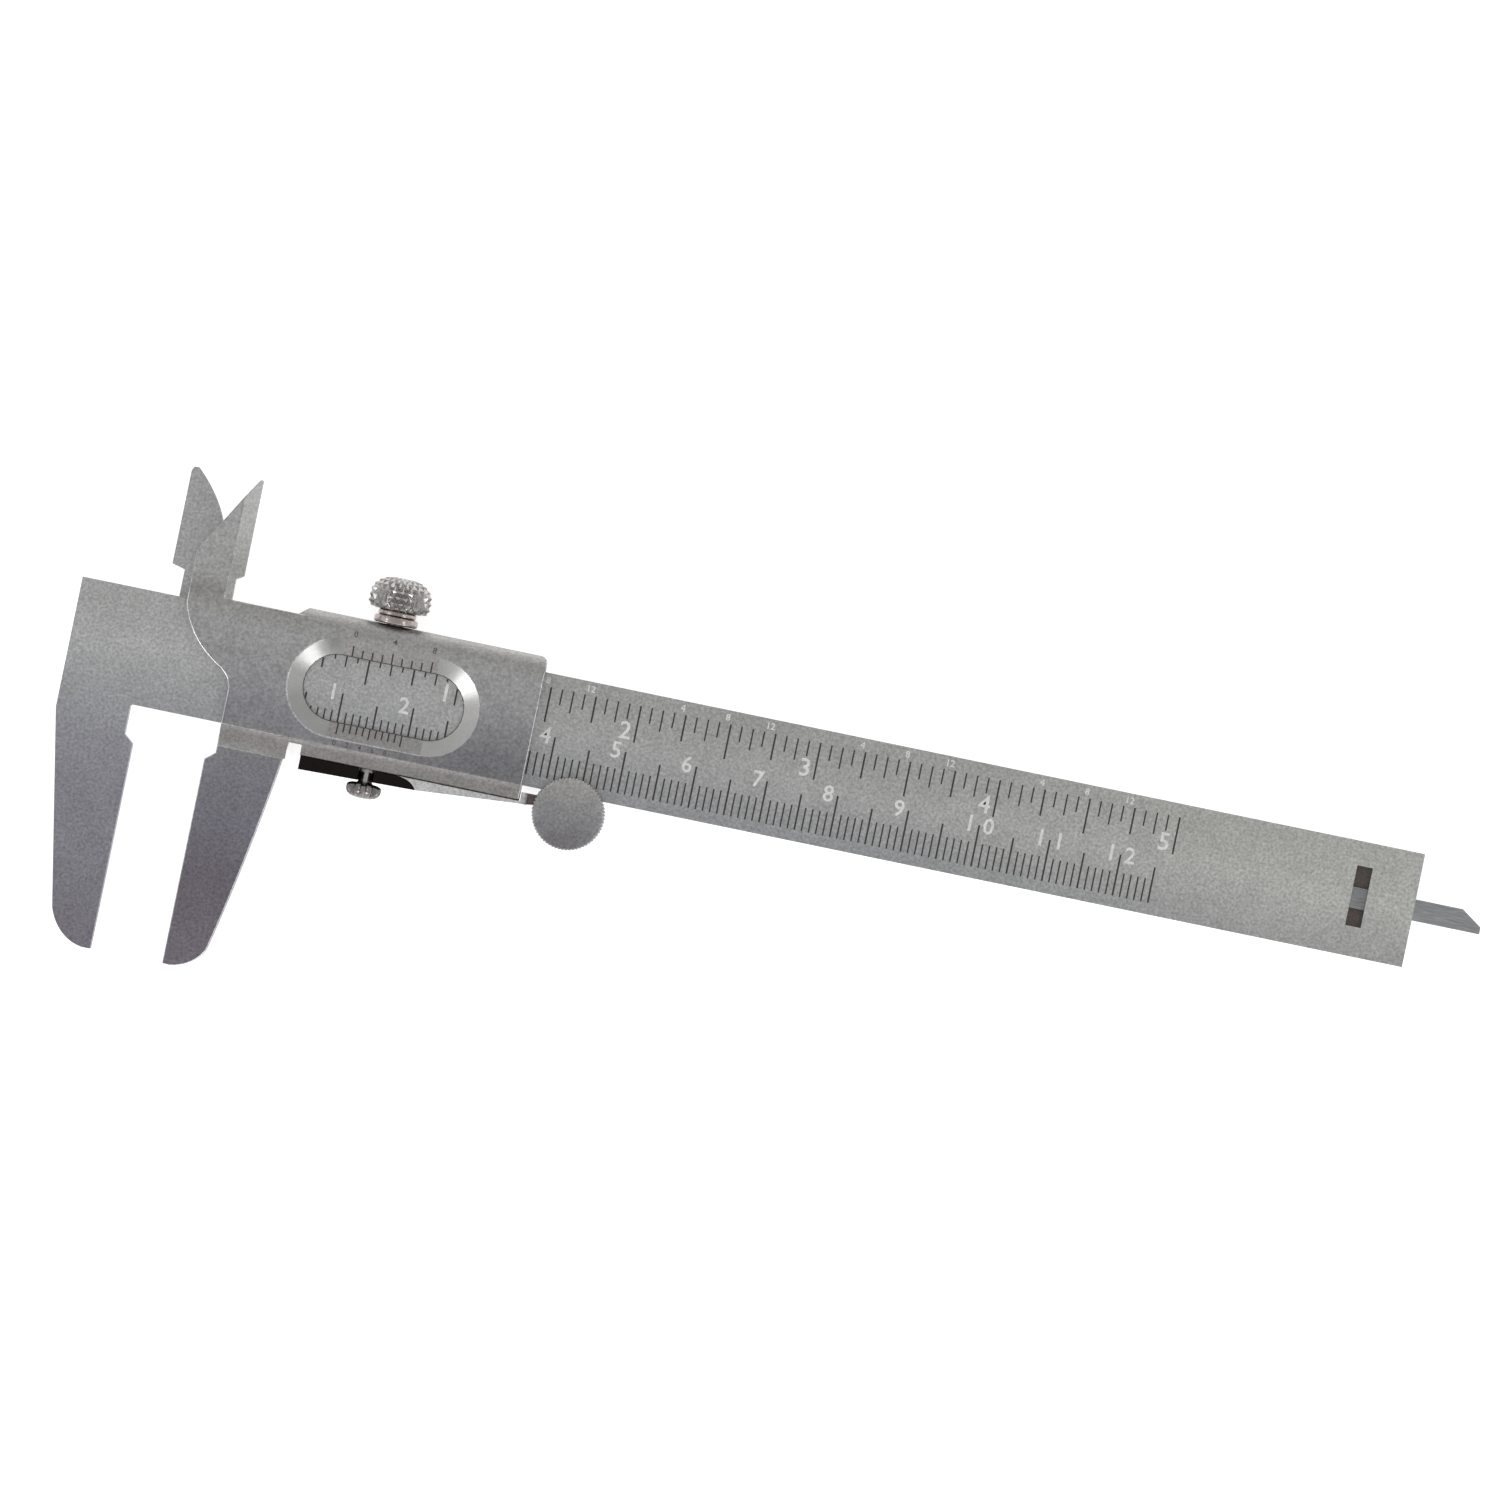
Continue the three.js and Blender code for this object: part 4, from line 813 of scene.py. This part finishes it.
small_way = np.linspace(0.0, 1.0, 60)
small_run = np.concatenate([[0.0], np.cumsum(np.hypot(*np.diff(small_profile[:, :2], axis=0).T))])
small_high, small_round, small_cut = (
    np.interp(small_way * small_run[-1], small_run, small_profile[:, k]) for k in (0, 1, 2)
)
small_turn = np.linspace(0.0, 1.0, SMALL_STEPS, endpoint=False)[None, :]
small_wave = triangle_wave(small_turn * SMALL_TEETH)
small_grid = small_round[:, None] - SMALL_KNURL * small_cut[:, None] * (1.0 - small_wave)
# Painted light and shade: one nickelled screw in two tones, its knurled head coloured dark and its
# neck more than twice as bright.
small_painted_light = metal("small_nickel_painted_light", 0.22, (
    (13.0, (0.225, 0.213, 0.209)), (15.9, (0.255, 0.240, 0.236)),
    (16.2, (0.56, 0.53, 0.53)), (18.0, (0.56, 0.53, 0.53)),
), speckle=0.16)
surface("carrier_screw_turned", *turned(small_high, small_grid, SMALL_AT, "y"), small_painted_light,
        "carrier_screw_body", "screw_nickel", node="carrier_screw", smooth=26.0)

# ---------------------------------------------------------------------------
# Thumb roller: two steel discs with finely serrated rims and a narrow hub,
# all pressed on one axle that turns in the fork and runs on the rule's edge.
# ---------------------------------------------------------------------------
ROLLER_AT = (61.1, 17.4)
DISC_BACK, DISC_FRONT = 1.9, 3.4
RIM_TEETH = 64
RIM_STEPS = RIM_TEETH * 6
RIM_CUT = 0.15
# Painted shade: the roller's steel darkens from the top of the discs to their bottom.
roller_satin_painted_shade = metal("roller_satin_painted_shade", 0.42, (
    (12.3, (0.245, 0.235, 0.250)), (17.4, (0.375, 0.372, 0.384)), (22.5, (0.515, 0.503, 0.478)),
))
# Radius, share of the thickness from back to front, share of the serration's depth. A blind
# bore on the inner side takes the axle's end.
disc_profile = np.array([
    [0.06, 0.95, 0.0], [0.78, 0.95, 0.0], [0.78, 0.00, 0.0], [1.50, 0.00, 0.0],
    [3.60, 0.01, 0.0], [4.62, 0.04, 0.0], [4.86, 0.08, 0.3], [5.02, 0.16, 0.8],
    [5.10, 0.28, 1.0], [5.10, 0.72, 1.0], [5.02, 0.84, 0.8], [4.86, 0.92, 0.3],
    [4.62, 0.96, 0.0], [3.60, 0.99, 0.0], [1.50, 1.00, 0.0], [0.06, 1.00, 0.0],
])
rim_turn = np.linspace(0.0, 1.0, RIM_STEPS, endpoint=False)[None, :]
rim_wave = triangle_wave(rim_turn * RIM_TEETH)
disc_grid = disc_profile[:, :1] - RIM_CUT * disc_profile[:, 2:] * (1.0 - rim_wave)
disc_thick = DISC_FRONT - DISC_BACK
disc_high = DISC_BACK + disc_thick * disc_profile[:, 1]
surface("roller_disc_front", *turned(disc_high, disc_grid, ROLLER_AT, "z"),
        roller_satin_painted_shade, "thumb_roller", "roller_steel", node="roller_front_disc", smooth=25.0)
surface("roller_disc_rear", *turned(-disc_high[::-1], disc_grid[::-1], ROLLER_AT, "z"),
        roller_satin_painted_shade, "thumb_roller", "roller_steel", node="roller_rear_disc", smooth=25.0)
softened("roller_hub", "hub", 0.06, roller_satin_painted_shade, "thumb_roller")
softened("roller_axle", "axle", 0.08, roller_satin_painted_shade, "thumb_roller")
